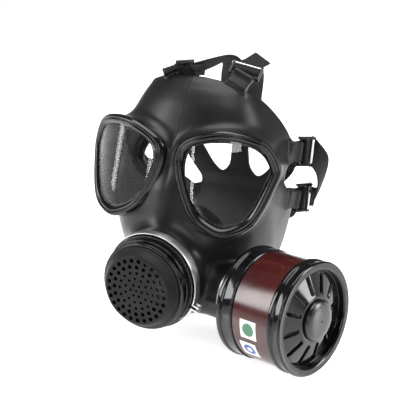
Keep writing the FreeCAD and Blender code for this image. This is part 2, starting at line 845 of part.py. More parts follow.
def oval_wire(centre, half_width, half_height, depth_top):
    """An upright oval that leans back by `depth_top` at its top."""
    points = []
    for step in range(12):
        angle = 2 * math.pi * step / 12
        lift = math.sin(angle)
        points.append((half_width * math.cos(angle), centre.y + depth_top * lift,
                       centre.z + half_height * lift))
    return smooth_wire(points, closed=True)


def nose_cup_form(inset, overshoot):
    """The cup's form, made smaller by `inset` and longer by `overshoot` at both ends."""
    stations = [
        oval_wire(Vector(0, 6.0 - overshoot, -92.0), 33.0 - inset, 28.0 - inset, 2.0),
        oval_wire(Vector(0, 25.0, -90.0), 39.0 - inset, 37.0 - inset, 1.0),
        oval_wire(Vector(0, 52.0 + overshoot, -88.0), 36.0 - inset, 40.0 - inset, -8.0),
    ]
    return Part.makeLoft(stations, True, False)


def nose_cup_pieces():
    """The inner mask round nose and mouth, with a check valve in each side."""
    cup = nose_cup_form(0.0, 0.0).cut(nose_cup_form(NOSE_CUP_WALL, 1.5))
    for sign in (1, -1):
        centre = Vector(sign * CHECK_VALVE_AT.x, CHECK_VALVE_AT.y, CHECK_VALVE_AT.z)
        axis = Vector(sign * CHECK_VALVE_AXIS.x, CHECK_VALVE_AXIS.y, 0)
        place = frame_at(centre, axis, Vector(0, 0, 1))
        hole = Part.makeCylinder(8.0, 20.0, Vector(0, 0, -10.0))
        hole.Placement = place
        cup = cup.cut(hole)
        land = Part.makeCylinder(10.5, 6.0, Vector(0, 0, -8.4))
        land.Placement = place
        cup = cup.cut(land)
        side = "left" if sign > 0 else "right"
        seat = turned("check_seat_" + side, [
            (0, 4.0), (10.5, 4.0), (10.5, 5.6), (8.0, 5.6), (8.0, 12.0), (0, 12.0)],
            place.multiply(Placement(Vector(0, 0, -8.0), Rotation())))
        cut_circles(seat, "check_port_" + side, [(4.4, 0), (-4.4, 0), (0, 4.4), (0, -4.4)],
                    1.9, 13.0, 10.0)
        turned("check_valve_" + side, [(0, 0.3), (7.4, 0.3), (7.4, 1.0), (0, 1.0)],
               place.multiply(Placement(Vector(0, 0, -4.0), Rotation(Vector(1, 0, 0), 180))))
    made("nose_cup", cup.removeSplitter())


# ---------------------------------------------------------------- harness

def ribbon(points, place, wall=None):
    """A strip of webbing: a path of (along, normal) points as wide as the strap."""
    wall = size.strap_wall.value if wall is None else wall
    width = size.strap_width.value
    upper = []
    lower = []
    for index, point in enumerate(points):
        before = points[max(index - 1, 0)]
        after = points[min(index + 1, len(points) - 1)]
        first = Vector(point[0] - before[0], 0, point[1] - before[1])
        second = Vector(after[0] - point[0], 0, after[1] - point[1])
        if first.Length < 1e-6:
            first = second
        if second.Length < 1e-6:
            second = first
        side_one = Vector(-first.z, 0, first.x).normalize()
        side_two = Vector(-second.z, 0, second.x).normalize()
        bisector = (side_one + side_two).normalize()
        reach = 0.5 * wall / max(bisector.dot(side_one), 0.5)
        middle = Vector(point[0], 0, point[1])
        upper.append(middle + bisector * reach)
        lower.append(middle - bisector * reach)
    corners = upper + lower[::-1]
    face = Part.Face(Part.makePolygon(corners + corners[:1]))
    strip = face.extrude(Vector(0, width, 0))
    strip.translate(Vector(0, -0.5 * width, 0))
    strip.Placement = place.multiply(strip.Placement)
    return strip


def flat_strip(points, width, place, level):
    """A strip that bends edgeways: its middle line is given as (along, across)."""
    left = []
    right = []
    for index, point in enumerate(points):
        before = Vector(*points[max(index - 1, 0)], 0)
        after = Vector(*points[min(index + 1, len(points) - 1)], 0)
        run = (after - before).normalize()
        side = Vector(-run.y, run.x, 0) * (0.5 * width)
        left.append(Vector(*point, level) + side)
        right.append(Vector(*point, level) - side)
    corners = left + right[::-1]
    face = Part.Face(Part.makePolygon(corners + corners[:1]))
    strip = face.extrude(Vector(0, 0, size.strap_wall.value))
    strip.Placement = place.multiply(strip.Placement)
    return strip


def buckle(lug):
    """A buckle frame: two rails, the pin in the lug's eye and a middle bar."""
    half = 0.5 * size.buckle_width.value
    reach = size.buckle_reach.value
    rail = 1.8
    solid = None
    for side in (-1, 1):
        low = half - rail if side > 0 else -half
        bar = Part.makeBox(reach + 4.0, rail, 3.6, Vector(-2.0, low, -1.8))
        solid = bar if solid is None else solid.fuse(bar)
    inner = half - 0.5 * rail
    pin = rod(size.pin_radius.value, Vector(0, -inner, 0), Vector(0, inner, 0))
    brace = Part.makeBox(1.6, 2 * inner, 1.2, Vector(5.2, -inner, -0.6))
    solid = solid.fuse(pin).fuse(brace)
    bore = size.roller_radius.value * 0.6 + size.running_gap.value
    solid = solid.cut(rod(bore, Vector(reach, -half - 1, 0), Vector(reach, half + 1, 0)))
    made("buckle_" + lug.name, solid.removeSplitter(), lug.place)


def roller(lug):
    """The bar that the webbing turns round, free to roll in the buckle's rails."""
    half = 0.5 * size.buckle_width.value
    reach = size.buckle_reach.value
    inner = half - 1.8 - 0.3
    core = rod(size.roller_radius.value * 0.6, Vector(reach, -half - 0.8, 0),
               Vector(reach, half + 0.8, 0))
    barrel = rod(size.roller_radius.value, Vector(reach, -inner, 0), Vector(reach, inner, 0))
    made("roller_" + lug.name, core.fuse(barrel), lug.place)


# The webbing's path round each roller, in the buckle's own (along, normal) plane.
STRAP_LOOP = [(2.2, -3.3), (12.0, -3.3), (14.6, -2.2), (15.6, 0.0), (14.6, 2.2), (12.0, 3.3),
              (5.0, 3.3)]

# The free end of each strap, in the buckle's (along, across) plane.
STRAP_TAILS = {
    "forehead_left": [(5.0, 0.0), (15.0, -1.0), (21.0, -8.0), (20.0, -22.0), (14.0, -34.0)],
    "forehead_right": [(14.0, 0.0), (6.0, 0.0), (-6.0, 1.0), (-13.0, 2.0)],
    "temple_left": [(5.0, 0.0), (14.0, -1.0), (23.0, -9.0), (28.0, -24.0), (26.0, -46.0)],
    "temple_right": [(5.0, 0.0), (14.0, 1.0), (23.0, 9.0), (28.0, 24.0), (26.0, 46.0)],
    "cheek_left": [(5.0, 0.0), (16.0, -1.0), (26.0, -6.0), (32.0, -16.0)],
    "cheek_right": [(5.0, 0.0), (16.0, 1.0), (26.0, 6.0), (32.0, 16.0)],
}
TAIL_LEVEL = 4.3


def strap_end(lug):
    """The end of a strap: the loop round the roller and the free tail."""
    loop = ribbon(STRAP_LOOP, lug.place)
    width = size.strap_width.value
    tail = flat_strip(STRAP_TAILS[lug.name], width - 1.0, lug.place, TAIL_LEVEL)
    stitch = Part.makeBox(2.0, width - 2.0, 1.4, Vector(6.0, 1.0 - 0.5 * width, 3.6))
    stitch.Placement = lug.place.multiply(stitch.Placement)
    made("strap_end_" + lug.name, loop.fuse(stitch).fuse(tail).removeSplitter())


PLATE_DEPTH = 147.0

# Half of the harness plate's outline from behind: side and height.
PLATE_HALF = [
    (0.0, -122.0), (16.0, -120.0), (30.0, -108.0), (58.0, -96.0), (61.0, -76.0),
    (44.0, -70.0), (44.0, -62.0), (62.0, -40.0), (64.0, -18.0), (46.0, -22.0),
    (30.0, -46.0), (20.0, -54.0), (11.0, -44.0), (9.0, -20.0), (9.0, 12.0), (23.0, 21.0),
    (23.0, 36.0), (0.0, 38.0),
]

# Each strap between its buckle and the harness plate: points in the mask frame.
STRAP_RUNS = {
    "forehead_left": [(42, 72, 80), (38, 90, 75), (26, 118, 57), (12, 147, 30)],
    "forehead_right": [(0.3, 62.9, 82.2), (6, 72, 85), (13, 86, 85), (13, 100, 77),
                       (0, 124, 57), (-12, 147, 30)],
    "temple_left": [(83.5, 102, 2.4), (80, 116, -2), (68, 136, -16), (52, 147, -30)],
    "temple_right": [(-83.5, 102, 2.4), (-80, 116, -2), (-68, 136, -16), (-52, 147, -30)],
    "cheek_left": [(80.1, 106.8, -49.7), (76, 122, -58), (64, 138, -74), (50, 147, -85)],
    "cheek_right": [(-80.1, 106.8, -49.7), (-76, 122, -58), (-64, 138, -74), (-50, 147, -85)],
}


def strap_run(lug):
    """A strap from its buckle back to the harness plate, turning as it goes."""
    points = [Vector(*point) for point in STRAP_RUNS[lug.name]]
    half = 0.5 * size.strap_width.value
    wall = 0.5 * size.strap_wall.value
    plate_across = Vector(0, 0, 1) if "forehead" not in lug.name else Vector(1, 0, 0)
    if plate_across.dot(lug.across) < 0:
        plate_across = plate_across * -1
    wires = []
    for index, point in enumerate(points):
        before = points[max(index - 1, 0)]
        after = points[min(index + 1, len(points) - 1)]
        run = (after - before).normalize()
        share = index / (len(points) - 1)
        across = lug.across * (1 - share) + plate_across * share
        normal = run.cross(across).normalize() * wall
        across = normal.cross(run).normalize() * half
        corners = [point + across + normal, point - across + normal,
                   point - across - normal, point + across - normal]
        wires.append(Part.makePolygon(corners + corners[:1]))
    beyond = Part.makeBox(300, 30, 300, Vector(-150, PLATE_DEPTH, -150))
    made("strap_" + lug.name, Part.makeLoft(wires, True, True).cut(beyond))


def harness_plate():
    """The rubber plate behind the head, with its upright arm and four side arms."""
    left = [Vector(-across, PLATE_DEPTH, level) for across, level in PLATE_HALF]
    right = [Vector(across, PLATE_DEPTH, level) for across, level in PLATE_HALF[-2:0:-1]]
    corners = left + right
    face = Part.Face(Part.makePolygon(corners + corners[:1]))
    made("harness_plate", face.extrude(Vector(0, size.plate_thickness.value, 0)))


# ---------------------------------------------------------------- assembly

def build_mask():
    face_blank()
    lens_pieces()
    nose_cup_pieces()


def build_outlet():
    outlet_housing()
    valve_plate()
    outlet_inner_pieces()
    bayonet_collar()
    outlet_cover()
    clamp = (size.neck_radius.value, size.band_start.value, size.band_width.value)
    clamp_band("outlet_clamp", *clamp, OUTLET, OUTLET_EAR_TURN)
    clamp_screw("outlet_clamp_screw", *clamp, OUTLET, OUTLET_EAR_TURN)


def build_inlet():
    inlet_pieces()
    clamp = (size.inlet_neck_radius.value, 41.0, size.band_width.value)
    clamp_band("inlet_clamp", *clamp, CANISTER, INLET_EAR_TURN)
    clamp_screw("inlet_clamp_screw", *clamp, CANISTER, INLET_EAR_TURN)


def build_canister():
    canister_rear_cap()
    canister_shell()
    canister_filling()
    canister_front_cap()


def build_harness():
    harness_plate()
    for lug in LUGS:
        buckle(lug)
        roller(lug)
        strap_end(lug)
        strap_run(lug)


def finished_pieces():
    """Every sub-part, after checking that each one and every feature is sound."""
    doc.recompute()
    for item in doc.Objects:
        if "Invalid" in item.State or "Error" in item.State:
            raise ValueError("%s failed: %s" % (item.Label, item.State))
    pieces = []
    for item in doc.Objects:
        is_body = item.TypeId == "PartDesign::Body"
        is_piece = item.TypeId == "Part::Feature"
        if not (is_body or is_piece):
            continue
        if item.Shape.isNull() or not item.Shape.isValid():
            raise ValueError(item.Label + " has a bad shape")
        if not item.Shape.Solids:
            raise ValueError(item.Label + " has no solid")
        pieces.append(item)
    return pieces


build_mask()
build_outlet()
build_inlet()
build_canister()
build_harness()

os.makedirs("parts", exist_ok=True)
for piece in finished_pieces():
    piece.Shape.exportStep("parts/%s.step" % piece.Label)
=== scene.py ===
import json
import math

import bmesh
import bpy
import numpy as np
import openvdb
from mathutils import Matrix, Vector


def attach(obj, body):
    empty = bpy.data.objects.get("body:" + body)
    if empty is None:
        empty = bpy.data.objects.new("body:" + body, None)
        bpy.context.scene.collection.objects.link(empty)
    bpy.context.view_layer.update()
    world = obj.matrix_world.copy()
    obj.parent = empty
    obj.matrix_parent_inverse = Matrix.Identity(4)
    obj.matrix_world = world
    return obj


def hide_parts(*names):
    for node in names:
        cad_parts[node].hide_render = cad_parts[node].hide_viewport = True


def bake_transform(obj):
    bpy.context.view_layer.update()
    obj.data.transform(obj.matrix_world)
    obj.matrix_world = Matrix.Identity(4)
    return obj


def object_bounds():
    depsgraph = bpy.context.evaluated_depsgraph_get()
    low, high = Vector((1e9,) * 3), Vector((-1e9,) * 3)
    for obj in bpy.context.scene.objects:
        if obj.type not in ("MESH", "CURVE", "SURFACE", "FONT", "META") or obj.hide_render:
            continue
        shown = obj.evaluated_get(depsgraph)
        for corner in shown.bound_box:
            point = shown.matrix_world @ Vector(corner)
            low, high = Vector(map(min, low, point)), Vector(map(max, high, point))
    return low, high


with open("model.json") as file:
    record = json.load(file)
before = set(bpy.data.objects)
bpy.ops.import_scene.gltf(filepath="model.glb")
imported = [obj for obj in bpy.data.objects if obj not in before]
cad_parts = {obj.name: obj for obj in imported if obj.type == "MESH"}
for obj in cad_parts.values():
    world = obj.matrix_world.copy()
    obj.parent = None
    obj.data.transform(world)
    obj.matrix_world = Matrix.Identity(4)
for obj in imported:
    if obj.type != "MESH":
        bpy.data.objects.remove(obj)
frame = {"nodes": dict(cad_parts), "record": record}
CAD_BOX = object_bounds()
MM = 0.001

# ------------------------------------------------------------------ camera, light, floor

FLOOR = CAD_BOX[0][2]
TARGET = Vector((0.0284, 0.0, -0.02256))
VIEW_AZIMUTH = math.radians(27.0)
VIEW_ELEVATION = math.radians(22.8)
VIEW_DISTANCE = 0.7838


def add_camera():
    """The camera at the photograph's viewing angle."""
    away = Vector((math.sin(VIEW_AZIMUTH) * math.cos(VIEW_ELEVATION),
                   -math.cos(VIEW_AZIMUTH) * math.cos(VIEW_ELEVATION),
                   math.sin(VIEW_ELEVATION)))
    data = bpy.data.cameras.new("view")
    data.lens = 78.8
    data.sensor_width = 36.0
    data.clip_start = 0.01
    camera = bpy.data.objects.new("view", data)
    bpy.context.scene.collection.objects.link(camera)
    camera.location = TARGET + away * VIEW_DISTANCE
    camera.rotation_euler = away.to_track_quat("Z", "Y").to_euler()
    bpy.context.scene.camera = camera


def add_area_light(name, place, aim, width, height, power):
    data = bpy.data.lights.new(name, "AREA")
    data.shape = "RECTANGLE"
    data.size = width
    data.size_y = height
    data.energy = power
    lamp = bpy.data.objects.new(name, data)
    bpy.context.scene.collection.objects.link(lamp)
    lamp.location = place
    lamp.rotation_euler = (Vector(place) - Vector(aim)).to_track_quat("Z", "Y").to_euler()
    return lamp


def add_lights():
    """Soft studio light: a wide top light, a key from the left and a rim from the right."""
    bpy.context.scene.view_settings.view_transform = "Standard"
    centre = (0.03, 0.03, -0.03)
    add_area_light("top_light", (0.05, 0.15, 1.0), centre, 1.0, 0.8, 15.0)
    add_area_light("key_light", (-1.0, -0.7, 0.6), centre, 0.4, 0.9, 14.0)
    add_area_light("rim_light", (1.0, 0.35, 0.35), centre, 0.25, 0.9, 11.0)
    add_area_light("front_light", (0.6, -1.1, 0.4), centre, 0.3, 0.5, 4.0)
    add_area_light("left_strip", (-0.95, -0.36, 0.08), centre, 0.12, 0.4, 1.0)
    add_area_light("front_strip", (-0.42, -0.98, 0.03), centre, 0.06, 0.3, 0.7)
    world = bpy.data.worlds.new("studio")
    world.use_nodes = True
    background = world.node_tree.nodes["Background"]
    background.inputs["Color"].default_value = (1.0, 1.0, 1.0, 1.0)
    background.inputs["Strength"].default_value = 0.2
    bpy.context.scene.world = world


def add_floor():
    mesh = bpy.data.meshes.new("floor")
    reach = 12.0
    mesh.from_pydata([(-reach, -reach, FLOOR), (reach, -reach, FLOOR),
                      (reach, reach, FLOOR), (-reach, reach, FLOOR)], [], [(0, 1, 2, 3)])
    floor = bpy.data.objects.new("floor", mesh)
    bpy.context.scene.collection.objects.link(floor)
    material = bpy.data.materials.new("pale_floor")
    material.use_nodes = True
    shader = material.node_tree.nodes["Principled BSDF"]
    shader.inputs["Base Color"].default_value = (0.97, 0.97, 0.97, 1.0)
    shader.inputs["Roughness"].default_value = 0.08
    shader.inputs["Emission Color"].default_value = (1.0, 1.0, 1.0, 1.0)
    shader.inputs["Emission Strength"].default_value = 0.7
    floor.data.materials.append(material)


# ------------------------------------------------------------------ materials


def new_material(name):
    """A material, its node tree and its shader."""
    material = bpy.data.materials.new(name)
    material.use_nodes = True
    tree = material.node_tree
    return material, tree, tree.nodes["Principled BSDF"]


def add_node(tree, kind, **inputs):
    node = tree.nodes.new(kind)
    for key, value in inputs.items():
        node.inputs[key.replace("_", " ")].default_value = value
    return node


def object_coordinates(tree):
    return tree.nodes.new("ShaderNodeTexCoord").outputs["Object"]


def noise(tree, scale, detail=3.0):
    """Noise in the object's own space: scale is features per metre."""
    node = add_node(tree, "ShaderNodeTexNoise", Scale=scale, Detail=detail, Roughness=0.55)
    tree.links.new(object_coordinates(tree), node.inputs["Vector"])
    return node.outputs["Fac"]


def ramp(tree, value, low, high, start=0.3, end=0.7):
    """A two-colour ramp from a value."""
    node = tree.nodes.new("ShaderNodeValToRGB")
    node.color_ramp.elements[0].position = start
    node.color_ramp.elements[1].position = end
    node.color_ramp.elements[0].color = (*low, 1.0)
    node.color_ramp.elements[1].color = (*high, 1.0)
    tree.links.new(value, node.inputs["Fac"])
    return node.outputs["Color"]


def spread(tree, value, low, high):
    """Maps a 0 to 1 value to the range low to high."""
    node = tree.nodes.new("ShaderNodeMapRange")
    node.inputs["From Min"].default_value = 0.25
    node.inputs["From Max"].default_value = 0.75
    node.inputs["To Min"].default_value = low
    node.inputs["To Max"].default_value = high
    tree.links.new(value, node.inputs["Value"])
    return node.outputs["Result"]


def bump(tree, shader, height, strength, distance, under=None):
    """Adds a bump to the shader, on top of an earlier one if given."""
    node = add_node(tree, "ShaderNodeBump", Strength=strength, Distance=distance)
    tree.links.new(height, node.inputs["Height"])
    if under is not None:
        tree.links.new(under, node.inputs["Normal"])
    tree.links.new(node.outputs["Normal"], shader.inputs["Normal"])
    return node.outputs["Normal"]


def surface(name, low, high, rough, mottle=45.0, grain=1500.0, relief=0.00006, metallic=0.0,
            specular=0.5):
    """A moulded, painted or metal surface: mottled colour, uneven gloss and fine grain."""
    material, tree, shader = new_material(name)
    tree.links.new(ramp(tree, noise(tree, mottle), low, high), shader.inputs["Base Color"])
    uneven = spread(tree, noise(tree, mottle * 3.0, 4.0), rough[0], rough[1])
    tree.links.new(uneven, shader.inputs["Roughness"])
    shader.inputs["Metallic"].default_value = metallic
    shader.inputs["Specular IOR Level"].default_value = specular
    bump(tree, shader, noise(tree, grain, 2.0), 0.5, relief)
    return material


def clear_plastic(name):
    """The clear lens: thin polished polycarbonate with a faint haze."""
    material, tree, shader = new_material(name)
    shader.inputs["Base Color"].default_value = (0.97, 0.98, 0.985, 1.0)
    shader.inputs["Transmission Weight"].default_value = 1.0
    shader.inputs["IOR"].default_value = 1.32
    haze = spread(tree, noise(tree, 60.0, 4.0), 0.0, 0.012)
    tree.links.new(haze, shader.inputs["Roughness"])
    return material


def wave(tree, where, scale, way, distortion=0.6):
    node = add_node(tree, "ShaderNodeTexWave", Scale=scale, Distortion=distortion, Detail=1.0)
    node.bands_direction = way
    tree.links.new(where, node.inputs["Vector"])
    return node.outputs["Fac"]


def math_node(tree, operation, first, second=None, third=None):
    """A math node on sockets or plain numbers."""
    node = tree.nodes.new("ShaderNodeMath")
    node.operation = operation
    for index, value in enumerate((first, second, third)):
        if value is None:
            continue
        if isinstance(value, (int, float)):
            node.inputs[index].default_value = value
        else:
            tree.links.new(value, node.inputs[index])
    return node.outputs["Value"]


def mixed(tree, share, first, second):
    """A colour between two sockets or plain colours."""
    node = tree.nodes.new("ShaderNodeMix")
    node.data_type = "RGBA"
    tree.links.new(share, node.inputs["Factor"])
    for socket, value in ((node.inputs[6], first), (node.inputs[7], second)):
        if isinstance(value, tuple):
            socket.default_value = (*value, 1.0)
        else:
            tree.links.new(value, socket)
    return node.outputs[2]


def webbing(name):
    """Woven webbing by its UV map in metres: black outside, its inner face painted lighter grey
    as a painted sheen of side light.
    """
    material, tree, shader = new_material(name)
    uv = tree.nodes.new("ShaderNodeTexCoord").outputs["UV"]
    weave = math_node(tree, "MULTIPLY", wave(tree, uv, 260.0, "X"),
                      wave(tree, uv, 420.0, "Y", 0.8))
    outer = ramp(tree, weave, (0.003, 0.003, 0.003), (0.014, 0.014, 0.0145), 0.1, 0.8)
    # painted highlight: the inner face's lighter grey stands in for side light falling on the
    # webbing
    inner = ramp(tree, weave, (0.022, 0.022, 0.023), (0.055, 0.055, 0.057), 0.1, 0.8)
    split = tree.nodes.new("ShaderNodeSeparateXYZ")
    tree.links.new(uv, split.inputs["Vector"])
    face = math_node(tree, "GREATER_THAN", split.outputs["X"], 0.5)
    tree.links.new(mixed(tree, face, outer, inner), shader.inputs["Base Color"])
    shader.inputs["Roughness"].default_value = 0.7
    shader.inputs["Specular IOR Level"].default_value = 0.25
    bump(tree, shader, weave, 0.8, 0.00025)
    return material


def rubber(name):
    """Satin moulded rubber: faint mottling, fine grain and the mould's seam in front."""
    material, tree, shader = new_material(name)
    tree.links.new(ramp(tree, noise(tree, 26.0), (0.006, 0.006, 0.0062),
                        (0.0105, 0.0105, 0.0108)), shader.inputs["Base Color"])
    tree.links.new(spread(tree, noise(tree, 60.0, 4.0), 0.3, 0.42),
                   shader.inputs["Roughness"])
    shader.inputs["Specular IOR Level"].default_value = 0.24
    grain = bump(tree, shader, noise(tree, 1300.0, 2.0), 0.3, 0.00002)
    split = tree.nodes.new("ShaderNodeSeparateXYZ")
    tree.links.new(object_coordinates(tree), split.inputs["Vector"])
    offset = math_node(tree, "ABSOLUTE", split.outputs["X"])
    line = math_node(tree, "SUBTRACT", 1.0, math_node(tree, "DIVIDE", offset, 0.0007))
    line = math_node(tree, "MAXIMUM", line, 0.0)
    above = math_node(tree, "GREATER_THAN", split.outputs["Z"], 0.02)
    ahead = math_node(tree, "LESS_THAN", split.outputs["Y"], 0.05)
    seam = math_node(tree, "MULTIPLY", line, math_node(tree, "MULTIPLY", above, ahead))
    bump(tree, shader, seam, 0.6, 0.0004, grain)
    return material


def from_point(tree, split, around, level):
    """How far a UV point lies from a given one: across, along and straight, in metres."""
    across = math_node(tree, "ABSOLUTE", math_node(tree, "SUBTRACT", split.outputs["X"],
                                                   around))
    along = math_node(tree, "ABSOLUTE", math_node(tree, "SUBTRACT", split.outputs["Y"],
                                                  level))
    square = math_node(tree, "ADD", math_node(tree, "MULTIPLY", across, across),
                       math_node(tree, "MULTIPLY", along, along))
    return across, along, math_node(tree, "SQRT", square)


# Plain stickers on the film: angle round the canister in degrees, level in millimetres,
# colour of the mark and its inner radius in metres (a disc or a ring).
STICKERS = [
    (178.0, 95.0, (0.015, 0.13, 0.05), 0.0),
    (204.0, 92.0, (0.02, 0.07, 0.28), 0.0026),
]
LABEL_RADIUS = 48.0


def label_film(name):
    """The canister's printed film: deep red-brown and cloudy, with two plain stickers."""
    material, tree, shader = new_material(name)
    base = ramp(tree, noise(tree, 22.0, 4.0), (0.028, 0.0035, 0.003), (0.055, 0.007, 0.0055))
    split = tree.nodes.new("ShaderNodeSeparateXYZ")
    uv = tree.nodes.new("ShaderNodeTexCoord").outputs["UV"]
    tree.links.new(uv, split.inputs["Vector"])
    paper = ramp(tree, noise(tree, 300.0), (0.62, 0.62, 0.6), (0.72, 0.72, 0.7))
    for angle, level, colour, hollow in STICKERS:
        across, along, far = from_point(tree, split, math.radians(angle) * LABEL_RADIUS * MM,
                                        level * MM)
        square = math_node(tree, "LESS_THAN", math_node(tree, "MAXIMUM", across, along),
                           0.0085)
        mark = math_node(tree, "MULTIPLY", math_node(tree, "LESS_THAN", far, 0.006),
                         math_node(tree, "GREATER_THAN", far, hollow))
        base = mixed(tree, square, base, paper)
        base = mixed(tree, mark, base, colour)
    tree.links.new(base, shader.inputs["Base Color"])
    tree.links.new(spread(tree, noise(tree, 70.0, 4.0), 0.14, 0.24),
                   shader.inputs["Roughness"])
    bump(tree, shader, noise(tree, 500.0, 3.0), 0.4, 0.00002)
    return material


# ------------------------------------------------------------------ shape helpers


SHARP_EDGE = math.radians(32.0)


def to_world(points, place):
    """Local millimetre points to the row frame in metres."""
    rows, origin = place
    return (np.asarray(points, float) @ rows + origin) * MM


def shade(piece):
    """Smooth shading, with the sharper edges kept sharp."""
    piece.data.polygons.foreach_set("use_smooth", [True] * len(piece.data.polygons))
    piece.data.set_sharp_from_angle(angle=SHARP_EDGE)


def linked(name, vertices, faces):
    """A new mesh object in the scene, with its faces turned outward."""
    mesh = bpy.data.meshes.new(name)
    mesh.from_pydata([tuple(v) for v in vertices], [], faces)
    mesh.update()
    work = bmesh.new()
    work.from_mesh(mesh)
    bmesh.ops.recalc_face_normals(work, faces=work.faces)
    work.to_mesh(mesh)
    work.free()
    obj = bpy.data.objects.new(name, mesh)
    bpy.context.scene.collection.objects.link(obj)
    return obj


def new_piece(name, vertices, faces, body, material, replaces=()):
    """A mesh piece in the row frame, riding on a body."""
    piece = linked(name, vertices, faces)
    shade(piece)
    piece.data.materials.append(material)
    if replaces:
        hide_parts(*replaces)
    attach(piece, body)
    return piece


def rounded(corners, radius, steps=4):
    """A closed outline with each corner replaced by a small arc."""
    corners = [np.array(corner[:2], float) for corner in corners]
    result = []
    count = len(corners)
    for index, corner in enumerate(corners):
        before = corners[index - 1] - corner
        after = corners[(index + 1) % count] - corner
        reach = min(radius, 0.45 * np.linalg.norm(before), 0.45 * np.linalg.norm(after))
        start = corner + before / np.linalg.norm(before) * reach
        end = corner + after / np.linalg.norm(after) * reach
        for step in range(steps + 1):
            t = step / steps
            result.append((1 - t)**2 * start + 2 * t * (1 - t) * corner + t**2 * end)
    return result


def bands(rings, count, closed=False):
    """Four-sided faces between rings of `count` vertices each."""
    faces = []
    for ring in range(rings if closed else rings - 1):
        a, b = ring * count, (ring + 1) % rings * count
        faces += [(a + k, a + (k + 1) % count, b + (k + 1) % count, b + k)
                  for k in range(count)]
    return faces


def lathe(name, outline, place, body, material, replaces=(), segments=144):
    """A closed outline of (radius, length) corners turned about the place's Z axis."""
    rings = []
    for step in range(segments):
        angle = 2 * math.pi * step / segments
        rings.append([(max(r, 0.02) * math.cos(angle), max(r, 0.02) * math.sin(angle), level)
                      for r, level in outline])
    count = len(outline)
    vertices = to_world([point for ring in rings for point in ring], place)
    return new_piece(name, vertices, bands(segments, count, True), body, material,
                     replaces)


def settle(piece):
    """Replaces the piece's mesh by what its modifiers make of it."""
    depsgraph = bpy.context.evaluated_depsgraph_get()
    mesh = bpy.data.meshes.new_from_object(piece.evaluated_get(depsgraph))
    piece.modifiers.clear()
    piece.data = mesh
    shade(piece)


def subtract(piece, vertices, faces):
    """Cuts a mesh, given in the row frame, out of a piece."""
    cutter = linked("cutter", vertices, faces)
    modifier = piece.modifiers.new("cut", "BOOLEAN")
    modifier.operation = "DIFFERENCE"
    modifier.solver = "EXACT"
    modifier.object = cutter
    settle(piece)
    bpy.data.objects.remove(cutter)


def prism(points, low, high):
    """Vertices and faces of a straight prism on a closed outline."""
    count = len(points)
    vertices = [(x, y, low) for x, y in points] + [(x, y, high) for x, y in points]
    faces = [tuple(range(count))[::-1], tuple(range(count, 2 * count))]
    faces += [(i, (i + 1) % count, count + (i + 1) % count, count + i) for i in range(count)]
    return vertices, faces


def joined(parts):
    """Several (vertices, faces) pairs as one."""
    vertices, faces = [], []
    for some, sides in parts:
        start = len(vertices)
        vertices += list(some)
        faces += [tuple(start + index for index in side) for side in sides]
    return vertices, faces


def circle(radius, steps, middle=(0.0, 0.0)):
    return [(middle[0] + radius * math.cos(2 * math.pi * k / steps),
             middle[1] + radius * math.sin(2 * math.pi * k / steps)) for k in range(steps)]


def bevel_edges(piece, width, segments=3, angle=35.0):
    """Rounds a piece's sharp edges."""
    modifier = piece.modifiers.new("bevel", "BEVEL")
    modifier.width = width * MM
    modifier.segments = segments
    modifier.limit_method = "ANGLE"
    modifier.angle_limit = math.radians(angle)
    modifier.harden_normals = False
    settle(piece)


def rod(radius, sides, low, high, x=0.0, z=0.0):
    """A rod along the local Y axis."""
    flat, faces = prism(circle(radius, sides), low, high)
    return [(x + a, y, z + b) for a, b, y in flat], faces


def around(vertices, angle):
    """Vertices turned about the local Z axis."""
    turn = np.array([[math.cos(angle), math.sin(angle), 0.0],
                     [-math.sin(angle), math.cos(angle), 0.0], [0.0, 0.0, 1.0]])
    return np.array(vertices) @ turn


def block(x0, x1, y0, y1, z0, z1):
    return prism([(x0, y0), (x1, y0), (x1, y1), (x0, y1)], z0, z1)


def sweep_closed(outline_points, section):
    """A closed moulding: a section of (inset, height) carried round the lens outline."""
    points = np.array(outline_points)
    runs = np.roll(points, -1, axis=0) - np.roll(points, 1, axis=0)
    runs /= np.linalg.norm(runs, axis=1)[:, None]
    inward = np.stack([-runs[:, 1], runs[:, 0]], axis=1)
    vertices = []
    for point, side in zip(points, inward):
        for inset, height in section:
            u, v = point + side * inset
            vertices.append((u, v, height - u * u * 0.5 / LENS_CURVE))
    return vertices, bands(len(points), len(section), True)


def smooth_path(points, steps):
    """Points along a smooth open curve through the given ones (any dimension)."""
    points = [np.array(point, float) for point in points]
    padded = [2 * points[0] - points[1]] + points + [2 * points[-1] - points[-2]]
    result = []
    for index in range(1, len(padded) - 2):
        a, b, c, d = padded[index - 1:index + 3]
        for t in np.arange(steps) / steps:
            result.append(0.5 * (2 * b + (c - a) * t + (2 * a - 5 * b + 4 * c - d) * t**2
                                 + (3 * b - a - 3 * c + d) * t**3))
    result.append(points[-1])
    return np.array(result)


